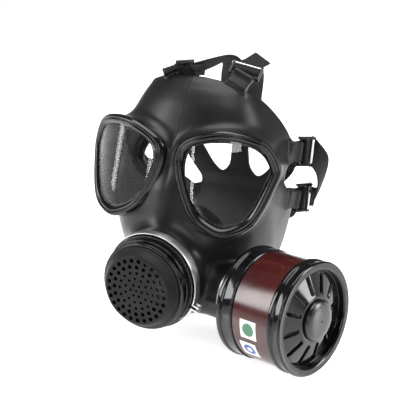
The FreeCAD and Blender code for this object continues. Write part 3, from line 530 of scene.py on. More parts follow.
def strap_mesh(path, sides, widths):
    """Vertices, faces and UVs of a strap: a path, the way its width runs, its sizes."""
    path = np.array(path)
    runs = np.gradient(path, axis=0)
    runs /= np.linalg.norm(runs, axis=1)[:, None]
    sides = np.array(sides, float)
    sides -= runs * np.sum(sides * runs, axis=1)[:, None]
    sides /= np.linalg.norm(sides, axis=1)[:, None]
    normals = np.cross(runs, sides)
    half, thick = STRAP_WIDTH / 2, STRAP_WALL / 2
    section = [(-half, -thick * 0.3), (-half + 0.6, -thick), (half - 0.6, -thick),
               (half, -thick * 0.3), (half, thick * 0.3), (half - 0.6, thick),
               (-half + 0.6, thick), (-half, thick * 0.3)]
    # extra points across the face of the strap
    dense = []
    for (a0, b0), (a1, b1) in zip(section, section[1:] + section[:1]):
        pieces = 8 if abs(a1 - a0) > 4 else 1
        for k in range(pieces):
            dense.append((a0 + (a1 - a0) * k / pieces, b0 + (b1 - b0) * k / pieces))
    travelled = np.concatenate([[0], np.cumsum(np.linalg.norm(np.diff(path, axis=0), axis=1))])
    vertices, uvs = [], []
    for point, side, normal, length, width in zip(path, sides, normals, travelled, widths):
        for a, b in dense:
            vertices.append(point + side * a * width / STRAP_WIDTH + normal * b)
            uvs.append((a * MM + (1.0 if b < 0 else 0.0), length * MM))
    count = len(dense)
    faces = bands(len(path), count)
    faces.append(tuple(range(count))[::-1])
    faces.append(tuple((len(path) - 1) * count + k for k in range(count)))
    return vertices, faces, uvs


def add_uvs(piece, uvs):
    layer = piece.data.uv_layers.new(name="UVMap")
    for loop in piece.data.loops:
        layer.data[loop.index].uv = uvs[loop.vertex_index]


# ------------------------------------------------------------------ face form

# Horizontal stations of the face form in millimetres: height, front point, half width,
# depth of the widest point, squareness.
STATIONS = np.array([
    (-153.5, 26.0, 34.0, 62.0, 2.3),
    (-144.0, 17.0, 46.0, 64.0, 2.2),
    (-134.0, 5.0, 56.0, 66.0, 2.1),
    (-118.0, -8.0, 66.0, 68.0, 2.0),
    (-95.0, -18.0, 73.5, 66.0, 2.0),
    (-68.0, -24.0, 78.5, 60.0, 2.0),
    (-40.0, -20.0, 80.0, 48.0, 2.1),
    (-8.0, -7.0, 80.6, 52.0, 2.2),
    (20.0, 2.0, 76.4, 57.5, 2.3),
    (42.0, 14.0, 64.5, 60.6, 2.3),
    (60.0, 25.5, 53.6, 62.6, 2.2),
    (70.0, 35.0, 46.5, 66.5, 2.1),
    (77.0, 45.0, 35.5, 68.0, 2.0),
    (82.0, 60.0, 24.0, 72.0, 2.0),
])
# The rear edge of the blank from the side: depth and height.
REAR_EDGE = np.array([
    (62.0, -160.0), (76.0, -132.0), (88.0, -108.0), (95.0, -75.0), (98.0, -52.0),
    (94.0, -38.0), (79.0, -28.0), (73.0, -19.5), (78.0, -11.0), (91.0, -3.0), (94.0, 8.0),
    (91.0, 20.0), (80.0, 45.0), (64.0, 62.0), (52.0, 71.0), (44.0, 84.0),
])
# Half of the opening that the face goes through, from behind: side and height.
OPENING_HALF = [
    (0.0, 59.0), (28.0, 53.0), (52.0, 32.0), (67.0, 0.0), (72.5, -38.0), (67.0, -78.0),
    (44.0, -112.0), (0.0, -124.0),
]
FACE_OPENING = np.array(OPENING_HALF + [(-side, up) for side, up in OPENING_HALF[-2:0:-1]])
# The lens's outline in its own plane, seen from the front: outward and up.
LENS_OUTLINE = np.array([
    (42.9, 13.0), (27.2, 36.3), (-10.0, 44.8), (-44.1, 34.6), (-52.5, 11.7),
    (-40.5, -29.0), (-18.5, -47.3), (1.0, -48.4), (21.4, -36.5), (38.4, -5.6),
])


def cubic(x, knots, values):
    """A smooth curve through the knots, with slopes from the neighbours."""
    slopes = np.gradient(values, knots)
    index = np.clip(np.searchsorted(knots, x) - 1, 0, len(knots) - 2)
    width = knots[index + 1] - knots[index]
    t = np.clip((x - knots[index]) / width, 0.0, 1.0)
    return ((2 * t**3 - 3 * t**2 + 1) * values[index]
            + (t**3 - 2 * t**2 + t) * width * slopes[index]
            + (3 * t**2 - 2 * t**3) * values[index + 1]
            + (t**3 - t**2) * width * slopes[index + 1])


def join(first, second, blend):
    """Smooth union of two distance fields."""
    mix = np.clip(0.5 + 0.5 * (second - first) / blend, 0.0, 1.0)
    return second * (1 - mix) + first * mix - blend * mix * (1 - mix)


def carve(first, second, blend):
    """Smooth removal of the second field from the first."""
    return -join(-first, second, blend)


def axis_frame(origin, along, across):
    """Rows are the local X, Y and Z axes of a frame, with its origin."""
    z_axis = np.array(along) / np.linalg.norm(along)
    y_axis = np.cross(z_axis, across)
    y_axis /= np.linalg.norm(y_axis)
    return np.array([np.cross(y_axis, z_axis), y_axis, z_axis]), np.array(origin, float)


def local(points, place):
    rows, origin = place
    moved = [points[axis] - origin[axis] for axis in range(3)]
    return [sum(np.float32(rows[row][axis]) * moved[axis] for axis in range(3))
            for row in range(3)]


LEAN = math.radians(4.5)
OUTLET = axis_frame((0, 0, -94.6), (0, -math.cos(LEAN), math.sin(LEAN)), (1, 0, 0))
TURN, TILT = math.radians(73.8), math.radians(5.8)
CANISTER_AXIS = np.array([math.sin(TURN) * math.cos(TILT), -math.cos(TURN) * math.cos(TILT),
                          math.sin(TILT)])
CANISTER = axis_frame(np.array([86.6, -10.9, -103.7]) - 60 * CANISTER_AXIS, CANISTER_AXIS,
                      (0, 1, 0))
YAW, PITCH = math.radians(23.3), math.radians(12.8)
LENS = axis_frame((59.7, 0, 0), (math.sin(YAW) * math.cos(PITCH),
                                 -math.cos(YAW) * math.cos(PITCH), math.sin(PITCH)),
                  (math.cos(YAW), math.sin(YAW), 0))
LENS_CURVE = 85.0


def closed_spline(points, steps):
    """Points along a smooth closed curve through the given ones."""
    count = len(points)
    result = []
    for index in range(count):
        a, b, c, d = (points[(index + shift) % count] for shift in (-1, 0, 1, 2))
        for t in np.arange(steps) / steps:
            result.append(0.5 * (2 * b + (c - a) * t + (2 * a - 5 * b + 4 * c - d) * t**2
                                 + (3 * b - a - 3 * c + d) * t**3))
    return np.array(result)


class Outline:
    """Distance to the lens outline in its own plane, from a fine table."""

    def __init__(self, points):
        self.low, self.step = -110.0, 1.0
        ticks = np.arange(self.low, 110.0, self.step)
        across, up = np.meshgrid(ticks, ticks, indexing="ij")
        ends = np.roll(points, -1, axis=0)
        best = np.full(across.shape, 1e9)
        inside = np.zeros(across.shape, bool)
        for (x0, y0), (x1, y1) in zip(points, ends):
            dx, dy = x1 - x0, y1 - y0
            t = np.clip(((across - x0) * dx + (up - y0) * dy) / (dx * dx + dy * dy), 0, 1)
            best = np.minimum(best, np.hypot(across - x0 - t * dx, up - y0 - t * dy))
            crosses = (y0 > up) != (y1 > up)
            slope = dx / (dy if abs(dy) > 1e-9 else 1e-9)
            inside ^= crosses & (across < x0 + (up - y0) * slope)
        self.table = np.where(inside, -best, best).astype(np.float32)

    def __call__(self, across, up):
        last = self.table.shape[0] - 2
        fx = np.clip((across - self.low) / self.step, 0, last + 0.999)
        fy = np.clip((up - self.low) / self.step, 0, last + 0.999)
        ix, iy = fx.astype(int), fy.astype(int)
        tx, ty = fx - ix, fy - iy
        table = self.table
        return ((table[ix, iy] * (1 - ty) + table[ix, iy + 1] * ty) * (1 - tx)
                + (table[ix + 1, iy] * (1 - ty) + table[ix + 1, iy + 1] * ty) * tx)


def form_field(x, y, z):
    """Distance, near the surface, to the smooth face form."""
    level = z[0, 0, :]
    front, half, widest, square = (
        cubic(level, STATIONS[:, 0], STATIONS[:, column]).astype(np.float32)
        for column in range(1, 5))
    depth = np.maximum(widest - y, 0.0) / np.maximum(widest - front, 1.0)
    side = np.abs(x) / half
    value = (side**square + depth**square)**(1.0 / square) - 1.0
    step = np.float32(y[0, 1, 0] - y[0, 0, 0])
    slopes = np.gradient(value, step)
    steep = np.sqrt(slopes[0]**2 + slopes[1]**2 + slopes[2]**2)
    return value / np.maximum(steep, 0.006)


def capsule(x, y, z, start, end, radius):
    """Distance to a round-ended rod."""
    start, end = np.array(start, float), np.array(end, float)
    run = end - start
    share = ((x - start[0]) * run[0] + (y - start[1]) * run[1] + (z - start[2]) * run[2])
    share = np.clip(share / (run @ run), 0.0, 1.0)
    gap = sum((axis - a - share * r)**2 for axis, a, r in zip((x, y, z), start, run))
    return np.sqrt(gap) - radius


def face_fields(x, y, z):
    """The rubber blank: form, lens sockets, necks, less the inside and the openings."""
    outline = Outline(closed_spline(LENS_OUTLINE, 12))
    form = form_field(x, y, z)
    across, up, out = local((np.abs(x), y, z), LENS)
    rim = outline(across, up)
    bent = out + across**2 * (0.5 / LENS_CURVE)
    socket = np.maximum(rim + 0.8, bent + 2.2)
    socket = np.maximum(socket, -bent - 45.0)
    outer = join(form, socket, 9.0)
    neck = local((x, y, z), OUTLET)
    radius = np.hypot(neck[0], neck[1])
    outlet = np.maximum(radius - 44.2, neck[2] - 42.6)
    outlet = np.maximum(outlet, -neck[2] - 30.0)
    outer = join(outer, outlet, 12.0)
    inlet_axes = local((x, y, z), CANISTER)
    inlet_radius = np.hypot(inlet_axes[0], inlet_axes[1])
    inlet = np.maximum(inlet_radius - 26.2, inlet_axes[2] - 52.0)
    inlet = np.maximum(inlet, -inlet_axes[2])
    outer = join(outer, inlet, 12.0)
    groove = np.maximum(np.maximum(42.9 - radius, radius - 60.0),
                        np.abs(neck[2] - 37.4) - 5.6)
    outer = carve(outer, groove, 0.8)
    outer = join(outer, capsule(x, y, z, *NOSE_RIDGE), 16.0)
    ground = z - np.float32(FLOOR / MM)
    outer = carve(outer, ground, 9.0)
    level = z[0, 0, :]
    rear = cubic(level, REAR_EDGE[:, 1], REAR_EDGE[:, 0]).astype(np.float32)
    behind = (y - rear) / np.hypot(1.0, np.gradient(rear, level))
    outer = -join(-outer, -behind, 2.0)
    inside = np.maximum(np.maximum(form + 3.0, behind + 3.5), 3.0 - ground)
    body = carve(outer, inside, 1.5)
    opening = Outline(closed_spline(FACE_OPENING, 8))(x, z + 0.0 * y)
    body = carve(body, np.maximum(opening, 50.0 - y), 2.5)
    body = carve(body, np.maximum(rim + 9.0, -bent - 60.0), 1.0)
    body = carve(body, np.maximum(radius - 41.7, -neck[2]), 0.5)
    body = carve(body, np.maximum(inlet_radius - 23.4, -inlet_axes[2] + 14.0), 0.5)
    return np.maximum(body, -ground)


# The soft ridge of the nose, sunk below the form's surface: ends and radius.
NOSE_RIDGE = ((0.0, 2.0, -22.0), (0.0, -11.0, -62.0), 16.0)


def relaxed(points, quads):
    """Points with the voxel grid's ripple smoothed out, without shrinking the form."""
    count = np.bincount(quads.ravel(), minlength=len(points))[:, None] * 2.0
    for factor in (0.55, -0.57) * 4:
        total = np.zeros_like(points)
        for shift in (1, 3):
            others = points[np.roll(quads, shift, axis=1).ravel()]
            for axis in range(3):
                total[:, axis] += np.bincount(quads.ravel(), others[:, axis], len(points))
        points = points + factor * (total / count - points)
    return points


def mesh_from_field(name, low, high, voxel, field_of):
    """A quad mesh of the zero surface of a field given in millimetres."""
    axes = [np.arange(a, b, voxel, dtype=np.float32) for a, b in zip(low, high)]
    x, y, z = np.meshgrid(*axes, indexing="ij", sparse=True)
    field = np.ascontiguousarray(np.broadcast_to(
        field_of(x, y, z), [len(axis) for axis in axes]), dtype=np.float32)
    grid = openvdb.FloatGrid(background=10.0)
    grid.copyFromArray(np.clip(field, -10.0, 10.0))
    points, quads = grid.convertToQuads(0.0)
    points = relaxed(points * voxel + np.array(low), quads) * MM
    mesh = bpy.data.meshes.new(name)
    mesh.vertices.add(len(points))
    mesh.vertices.foreach_set("co", points.astype(np.float32).ravel())
    mesh.loops.add(len(quads) * 4)
    mesh.loops.foreach_set("vertex_index", quads[:, ::-1].astype(np.int32).ravel())
    mesh.polygons.add(len(quads))
    mesh.polygons.foreach_set("loop_start", np.arange(0, len(quads) * 4, 4, dtype=np.int32))
    mesh.update(calc_edges=True)
    mesh.validate()
    mesh.polygons.foreach_set("use_smooth", np.ones(len(mesh.polygons), bool))
    obj = bpy.data.objects.new(name, mesh)
    bpy.context.scene.collection.objects.link(obj)
    return obj


# ------------------------------------------------------------------ lenses


def add_lens_frames(gloss):
    """The double-ridged gloss frames round both lenses."""
    section = rounded([(0.0, -2.0), (0.0, 3.6), (1.6, 6.0), (3.0, 6.0), (3.9, 4.9),
                       (4.7, 5.8), (6.2, 5.4), (8.4, 3.3), (8.4, 2.9), (5.8, 2.9),
                       (5.8, -2.0)], 0.7, 3)
    points = closed_spline(LENS_OUTLINE, 18)
    vertices, faces = sweep_closed(points, section)
    right_side = to_world(vertices, LENS)
    for side, name in ((1, "left"), (-1, "right")):
        placed = right_side * np.array([side, 1, 1])
        new_piece("eye_frame_" + name, placed, faces, "mask", gloss,
                  ["lens_frame_" + name])


GLASS_INSET = 5.8
GLASS_LEVELS = (0.5, 2.9)
GLASS_RINGS = 14


def add_lenses(clear):
    """The clear lenses: smooth sheets on the outline, bent about their upright axis."""
    points = closed_spline(LENS_OUTLINE, 12)
    runs = np.roll(points, -1, axis=0) - np.roll(points, 1, axis=0)
    runs /= np.linalg.norm(runs, axis=1)[:, None]
    rim = points + np.stack([-runs[:, 1], runs[:, 0]], axis=1) * GLASS_INSET
    middle = rim.mean(axis=0)
    count = len(rim)
    vertices, faces = [], []
    for level in GLASS_LEVELS:
        for ring in range(GLASS_RINGS + 1):
            flat = middle + (rim - middle) * (1.0 - 0.98 * ring / GLASS_RINGS)
            vertices += [(u, v, level - u * u * 0.5 / LENS_CURVE) for u, v in flat]
    back = (GLASS_RINGS + 1) * count
    for side in (0, back):
        faces += [tuple(side + k for k in face) for face in bands(GLASS_RINGS + 1, count)]
        faces.append(tuple(side + GLASS_RINGS * count + k for k in range(count)))
    faces += [(k, (k + 1) % count, back + (k + 1) % count, back + k) for k in range(count)]
    right_side = to_world(vertices, LENS)
    for side, name in ((1, "left"), (-1, "right")):
        new_piece("clear_lens_" + name, right_side * np.array([side, 1, 1]), faces, "mask",
                  clear, ["lens_" + name])


# ------------------------------------------------------------------ outlet valve

HOLE_RINGS = [(5.6, 6, 1.3), (11.2, 11, 1.3), (16.8, 16, 1.4), (22.4, 20, 1.95),
              (28.0, 25, 2.0)]
COLLAR_WINDOWS = 8


def add_outlet_cover(matte):
    outline = rounded([(0.02, 65.7), (30.0, 65.7), (33.8, 60.5), (33.8, 57.2),
                       (37.8, 57.2), (37.8, 58.9), (36.2, 60.5), (32.6, 66.3),
                       (31.4, 67.5), (0.02, 67.5)], 0.8)
    cover = lathe("perforated_cover", outline, OUTLET, "outlet_cover_body",
                  matte, ["outlet_cover"])
    parts = [prism(circle(1.15, 16), 60.0, 70.0)]
    for ring, count, radius in HOLE_RINGS:
        for step in range(count):
            angle = 2 * math.pi * step / count
            middle = (ring * math.cos(angle), ring * math.sin(angle))
            parts.append(prism(circle(radius, 18, middle), 60.0, 70.0))
    vertices, faces = joined(parts)
    subtract(cover, to_world(vertices, OUTLET), faces)
    bevel_edges(cover, 0.25, 2)
    return cover


def add_collar(gloss):
    outline = rounded([(37.45, 46.6), (40.8, 46.6), (40.8, 48.6), (39.9, 48.8),
                       (39.9, 54.4), (40.8, 54.6), (40.8, 56.0), (39.6, 57.2),
                       (37.45, 57.2)], 0.5)
    collar = lathe("bayonet_ring", outline, OUTLET, "outlet_cover_body",
                   gloss, ["bayonet_collar"])
    parts = []
    for step in range(COLLAR_WINDOWS):
        vertices, faces = block(36.0, 44.0, -7.0, 7.0, 49.2, 54.0)
        parts.append((around(vertices, 2 * math.pi * step / COLLAR_WINDOWS), faces))
    vertices, faces = joined(parts)
    subtract(collar, to_world(vertices, OUTLET), faces)
    bevel_edges(collar, 0.3, 2)
    return collar


# ------------------------------------------------------------------ canister

REAR = 60.0
FRONT = REAR + 69.4
SLOTS = 12


def add_canister(enamel, satin, label):
    rear = rounded([(15.0, 43.05), (19.1, 43.05), (19.95, 43.9), (19.95, REAR - 0.4),
                    (21.5, REAR), (48.6, REAR), (50.0, REAR + 1.4), (50.0, REAR + 5.0),
                    (48.6, REAR + 6.4), (48.6, REAR + 15.2), (49.3, REAR + 16.0),
                    (49.3, REAR + 17.0), (48.4, REAR + 17.5), (47.8, REAR + 17.5),
                    (47.8, REAR + 2.0), (15.0, REAR + 2.0)], 1.1)
    lathe("canister_rear_end", rear, CANISTER, "canister_body", enamel,
          ["canister_rear_cap"], 200)
    front = rounded([(0.02, FRONT - 0.6), (20.0, FRONT - 0.6), (44.2, FRONT - 8.4),
                     (44.2, FRONT - 2.4), (47.8, FRONT - 2.4), (47.8, FRONT - 14.3),
                     (49.0, FRONT - 14.3), (50.0, FRONT - 13.2), (50.0, FRONT - 10.2),
                     (48.6, FRONT - 9.0), (48.6, FRONT - 3.2), (50.0, FRONT - 2.4),
                     (50.0, FRONT - 1.0), (49.0, FRONT), (43.8, FRONT), (42.6, FRONT - 1.2),
                     (42.6, FRONT - 6.8), (20.0, FRONT + 0.6), (0.02, FRONT + 0.6)], 1.1)
    cap = lathe("canister_front_end", front, CANISTER, "canister_body",
                enamel, ["canister_front_cap"], 200)
    slots, rims = [], []
    slope = -7.4 / 22.6
    for step in range(SLOTS):
        angle = 2 * math.pi * step / SLOTS
        vertices, faces = block(22.5, 39.5, -1.3, 1.3, FRONT - 14, FRONT + 2)
        slots.append((around(vertices, angle), faces))
        vertices, faces = louvre(slope)
        rims.append((around(vertices, angle), faces))
    vertices, faces = joined(slots)
    subtract(cap, to_world(vertices, CANISTER), faces)
    bevel_edges(cap, 0.3, 2)
    vertices, faces = joined(rims)
    new_piece("slot_louvres", to_world(vertices, CANISTER), faces, "canister_body",
              enamel)
    dome = rounded([(0.02, FRONT + 0.6), (17.9, FRONT + 0.6), (17.9, FRONT + 2.6),
                    (16.9, FRONT + 4.4), (13.5, FRONT + 5.6), (8.0, FRONT + 6.4),
                    (0.02, FRONT + 6.6)], 3.0, 6)
    lathe("canister_boss", dome, CANISTER, "canister_body", satin,
          ["canister_dome"])
    sleeve = [(47.8, REAR + 18.0), (LABEL_RADIUS, REAR + 18.0), (LABEL_RADIUS, REAR + 55.0),
              (47.8, REAR + 55.0)]
    wrap = lathe("canister_wrap", sleeve, CANISTER, "canister_body", label,
                 ["canister_label"], 200)
    add_wrap_uvs(wrap, CANISTER, LABEL_RADIUS)


def add_wrap_uvs(piece, place, radius):
    """UVs in metres: the way round the place's Z axis, then the level along it."""
    rows, origin = place
    layer = piece.data.uv_layers.new(name="UVMap")
    for face in piece.data.polygons:
        corners = [rows @ (np.array(piece.data.vertices[k].co) / MM - origin)
                   for k in face.vertices]
        angles = np.array([math.atan2(y, x) for x, y, _ in corners]) % (2 * math.pi)
        if np.ptp(angles) > math.pi:
            angles[angles < math.pi] += 2 * math.pi
        for loop, angle, corner in zip(face.loop_indices, angles, corners):
            layer.data[loop].uv = (angle * radius * MM, corner[2] * MM)


def louvre(slope):
    """A raised rounded edge beside one slot of the front cap."""
    vertices = []
    steps, sides = 14, 8
    for step in range(steps + 1):
        t = step / steps
        radius = 22.5 + 17.0 * t
        fat = 1.25 * min(1.0, 4.0 * math.sin(math.pi * max(0.02, min(0.98, t))))
        level = FRONT + 0.6 + (radius - 20.0) * slope
        for k in range(sides):
            angle = 2 * math.pi * k / sides
            y = 2.1 + fat * 0.8 * math.cos(angle)
            z = level - 0.3 + fat * 1.3 * math.sin(angle)
            vertices.append((radius, y, z))
    faces = bands(steps + 1, sides)
    faces.append(tuple(range(sides))[::-1])
    faces.append(tuple(steps * sides + k for k in range(sides)))
    return vertices, faces


# ------------------------------------------------------------------ clamps

BAND_WALL = 1.1


def add_clamp(name, radius, start, width, place, ear_turn, body, steel, screw_steel):
    """A steel band round a rubber neck, with two folded ears and their screw."""
    gap = 1.6 / radius
    steps = 150
    section = rounded([(radius, start), (radius + BAND_WALL, start),
                       (radius + BAND_WALL, start + width), (radius, start + width)], 0.35, 2)
    count = len(section)
    base = math.radians(ear_turn)
    vertices = []
    for step in range(steps + 1):
        angle = base + gap + (2 * math.pi - 2 * gap) * step / steps
        vertices += [(r * math.cos(angle), r * math.sin(angle), z) for r, z in section]
    faces = bands(steps + 1, count)
    faces.append(tuple(range(count))[::-1])
    faces.append(tuple(steps * count + k for k in range(count)))
    parts = [(vertices, faces)]
    for side in (-1, 1):
        low, high = (1.5, 2.4) if side > 0 else (-2.4, -1.5)
        ear, sides = block(radius + 0.2, radius + 7.3, low, high, start, start + width)
        parts.append((around(ear, base), sides))
    vertices, faces = joined(parts)
    new_piece(name + "_band", to_world(vertices, place), faces, body, steel,
              [name])
    middle = start + width / 2
    bolts = []
    for reach, sides, low, high in ((1.45, 16, -4.6, 4.4), (2.7, 28, 2.4, 4.6),
                                    (2.9, 6, -4.6, -2.4)):
        bolt, faces = rod(reach, sides, low, high, radius + 4.6, middle)
        bolts.append((around(bolt, base), faces))
    vertices, faces = joined(bolts)
    screw = new_piece(name + "_bolt", to_world(vertices, place), faces, body,
                      screw_steel, [name + "_screw"])
    bevel_edges(screw, 0.25, 2)


# ------------------------------------------------------------------ harness

LUGS = {
    "forehead_left": ((43, 58, 80), (-0.05, 0.88, 0.47), (-0.96, 0, 0.28)),
    "forehead_right": ((-19, 55, 79), (0.93, 0.33, 0.1), (0, 0.75, -0.6)),
    "temple_left": ((86, 94, 3), (0.80, 0.58, -0.06), (0, 0, 1)),
    "temple_right": ((-86, 94, 3), (-0.80, 0.58, -0.06), (0, 0, -1)),
    "cheek_left": ((85, 97, -46), (0.66, 0.75, -0.08), (0, 0, 1)),
    "cheek_right": ((-85, 97, -46), (-0.66, 0.75, -0.08), (0, 0, -1)),
}


def lug_frame(name):
    """Rows are along, across and normal; the origin is the buckle's pin."""
    pin, along, across = (np.array(item, float) for item in LUGS[name])
    along /= np.linalg.norm(along)
    normal = np.cross(along, across)
    normal /= np.linalg.norm(normal)
    return np.array([along, np.cross(normal, along), normal]), pin


def add_buckle(name, black, bright):
    """A moulded buckle: two rails, the pin in the lug's eye and a cross bar."""
    place = lug_frame(name)
    body = "buckle_%s_body" % name
    half, reach = 14.5, 12.0
    parts = [block(-2.6, reach + 2.4, -half, -half + 2.2, -1.9, 1.9),
             block(-2.6, reach + 2.4, half - 2.2, half, -1.9, 1.9),
             block(4.6, 7.0, -half + 0.5, half - 0.5, -0.7, 0.7)]
    parts.append(rod(1.25, 20, -half + 0.5, half - 0.5))
    vertices, faces = joined(parts)
    piece = new_piece(name + "_buckle_frame", to_world(vertices, place), faces, body,
                      black, ["buckle_" + name])
    bevel_edges(piece, 0.6, 3)
    bar = []
    profile = [(-half - 0.8, 0.0), (-half - 0.8, 1.3), (-half - 0.2, 1.5), (-half + 2.2, 1.5),
               (-half + 2.4, 1.75), (half - 2.4, 1.75), (half - 2.2, 1.5), (half + 0.2, 1.5),
               (half + 0.8, 1.3), (half + 0.8, 0.0)]
    count = 24
    for y, radius in profile:
        bar += [(reach + a, y, b) for a, b in circle(max(radius, 0.01), count)]
    sides = bands(len(profile), count)
    new_piece(name + "_roller_bar", to_world(bar, place), sides, body, bright,
              ["roller_" + name])


# Each strap in millimetres: its way from the harness plate to the buckle, and the free
# tail beyond the bar as (along, across, normal) in the buckle's own frame.
STRAP_RUNS = {
    "forehead_left": [(12, 147, 30), (26, 118, 57), (38, 90, 75), (42.5, 76, 81)],
    "forehead_right": [(-12, 147, 30), (0, 124, 57), (13, 100, 77), (13, 86, 85), (4, 68, 84)],
    "temple_left": [(52, 145, -30), (68, 136, -16), (80, 116, -2), (84, 102, 3)],
    "cheek_left": [(50, 145, -85), (64, 138, -74), (76, 122, -58), (82, 107, -48)],
}
# Each tail point: along, across, normal, then how far the width turns towards the run and
# towards the buckle's normal, in degrees.
TAILS = {
    "forehead_left": [(17.0, -0.6, -2.0, 4, 0), (22.0, -2.4, -4.2, 6, 0),
                      (28.0, -5.0, -5.6, 10, 0), (33.0, -7.5, -6.0, 12, 0)],
    "forehead_right": [(17.0, 0.5, -1.8, 0, 0), (22.0, 1.5, -1.6, 0, 0)],
    "temple_left": [(16.0, -2.5, -1.0, 10, 4), (20.5, -9.0, 0.5, 38, 20),
                    (23.5, -18.0, 1.5, 66, 42), (24.0, -29.0, 1.5, 84, 56),
                    (22.5, -40.0, 0.5, 92, 62), (21.0, -47.0, -0.5, 92, 64)],
    "cheek_left": [(17.0, -0.5, -1.8, 0, 0), (21.0, -1.0, -2.6, 0, 0)],
}
STRAP_WIDTH = 21.0
BUCKLED_WIDTH = 24.2
TAIL_WIDTH = 19.5
STRAP_WALL = 1.6


def strap_path(kind):
    """The middle line of a strap and the way its width runs, point by point."""
    (along, across, normal), pin = lug_frame(kind)
    run = [np.array(point, float) for point in STRAP_RUNS[kind]]
    plate_across = np.array([1.0, 0, 0]) if "forehead" in kind else np.array([0, 0, 1.0])
    if plate_across @ across < 0:
        plate_across = -plate_across
    points, sides = [], []
    widths = [STRAP_WIDTH] * len(run) + [BUCKLED_WIDTH] * 5 + [TAIL_WIDTH] * len(TAILS[kind])
    for index, point in enumerate(run):
        share = index / len(run)
        points.append(point)
        sides.append(plate_across * (1 - share) + across * share)
    for x, z in ((2.0, -3.6), (3.4, -0.6), (5.8, 1.9), (8.6, 0.4), (12.0, -2.8)):
        points.append(pin + along * x + normal * z)
        sides.append(across)
    for x, y, z, swing, twist in TAILS[kind]:
        swing, twist = math.radians(swing), math.radians(twist)
        points.append(pin + along * x + across * y + normal * z)
        level = along * math.cos(twist) - normal * math.sin(twist)
        sides.append(across * math.cos(swing) + level * math.sin(swing))
    path = smooth_path(points, 7)
    spread_sides = smooth_path(sides, 7)
    return path, spread_sides, smooth_path(widths, 7)


def add_strap(kind, mirror, cloth):
    """One strap of elastic webbing from the harness plate through its buckle."""
    path, sides, widths = strap_path(kind)
    flip = np.array([-1.0 if mirror else 1.0, 1, 1])
    name = kind.replace("left", "right") if mirror else kind
    vertices, faces, uvs = strap_mesh(path, sides, widths)
    vertices = np.array(vertices) * flip * MM
    piece = new_piece("webbing_" + name, vertices, faces, "mask", cloth,
                      ["strap_" + name, "strap_end_" + name])
    add_uvs(piece, uvs)
    piece.parent = None
    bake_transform(piece)
    return piece


# Half of the harness plate's outline from behind, in millimetres: side and height.
PLATE_HALF = [
    (0.0, -122.0), (16.0, -120.0), (30.0, -108.0), (58.0, -96.0), (61.0, -76.0),
    (44.0, -70.0), (44.0, -62.0), (62.0, -40.0), (64.0, -18.0), (46.0, -22.0),
    (30.0, -46.0), (20.0, -54.0), (11.0, -44.0), (9.0, -20.0), (9.0, 12.0),
    (23.0, 21.0), (23.0, 36.0), (0.0, 38.0),
]
PLATE_DEPTH = 147.0
PLATE_WALL = 2.6


def add_harness_plate(rubber):
    """The rubber plate behind the head, a flat plate with its edges rounded."""
    corners = PLATE_HALF + [(-x, z) for x, z in PLATE_HALF[-2:0:-1]]
    smooth = rounded(corners, 9.0, 6)
    flat, faces = prism(smooth, PLATE_DEPTH, PLATE_DEPTH + PLATE_WALL)
    vertices = [(x, depth, z) for x, z, depth in flat]
    piece = new_piece("head_harness_plate", np.array(vertices) * MM, faces, "mask",
                      rubber, ["harness_plate"])
    bevel_edges(piece, 0.8, 3, 50)


# ------------------------------------------------------------------ face blank piece


def lug_field(x, y, z):
    """The rubber tabs that carry the buckles, each with a rolled eye round its pin."""
    field = None
    for name, root in LUG_ROOTS.items():
        (_, across, _), pin = lug_frame(name)
        root = np.array(root, float)
        reach = np.linalg.norm(pin - root)
        out = (pin - root) / reach
        side = across - out * (across @ out)
        side /= np.linalg.norm(side)
        rows = np.array([out, side, np.cross(out, side)])
        u, v, w = local((x, y, z), (rows, root))
        thick = 3.1 - 0.9 * np.clip(u / reach, 0.0, 1.0)
        wide = np.abs(v) - 9.6
        tab = np.maximum(np.maximum(np.abs(w) - thick, wide), np.abs(u - reach / 2) - reach / 2)
        eye = np.maximum(np.hypot(u - reach, w) - 3.3, wide)
        tab = join(tab, eye, 2.0)
        field = tab if field is None else np.minimum(field, tab)
    return field


LUG_ROOTS = {
    "forehead_left": (39, 49, 71), "forehead_right": (-32, 48, 73),
    "temple_left": (79, 86, 4), "temple_right": (-79, 86, 4),
    "cheek_left": (79, 88, -44), "cheek_right": (-79, 88, -44),
}


def add_face_blank(rubber):
    voxel = 1.2

    def field(x, y, z):
        return join(face_fields(x, y, z), lug_field(x, y, z), 4.0)

    blank = mesh_from_field("moulded_face_blank", (-106, -64, -160), (106, 112, 100), voxel,
                            field)
    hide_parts("face_blank")
    blank.data.materials.append(rubber)
    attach(blank, "mask")
    return blank


# ------------------------------------------------------------------ finishes

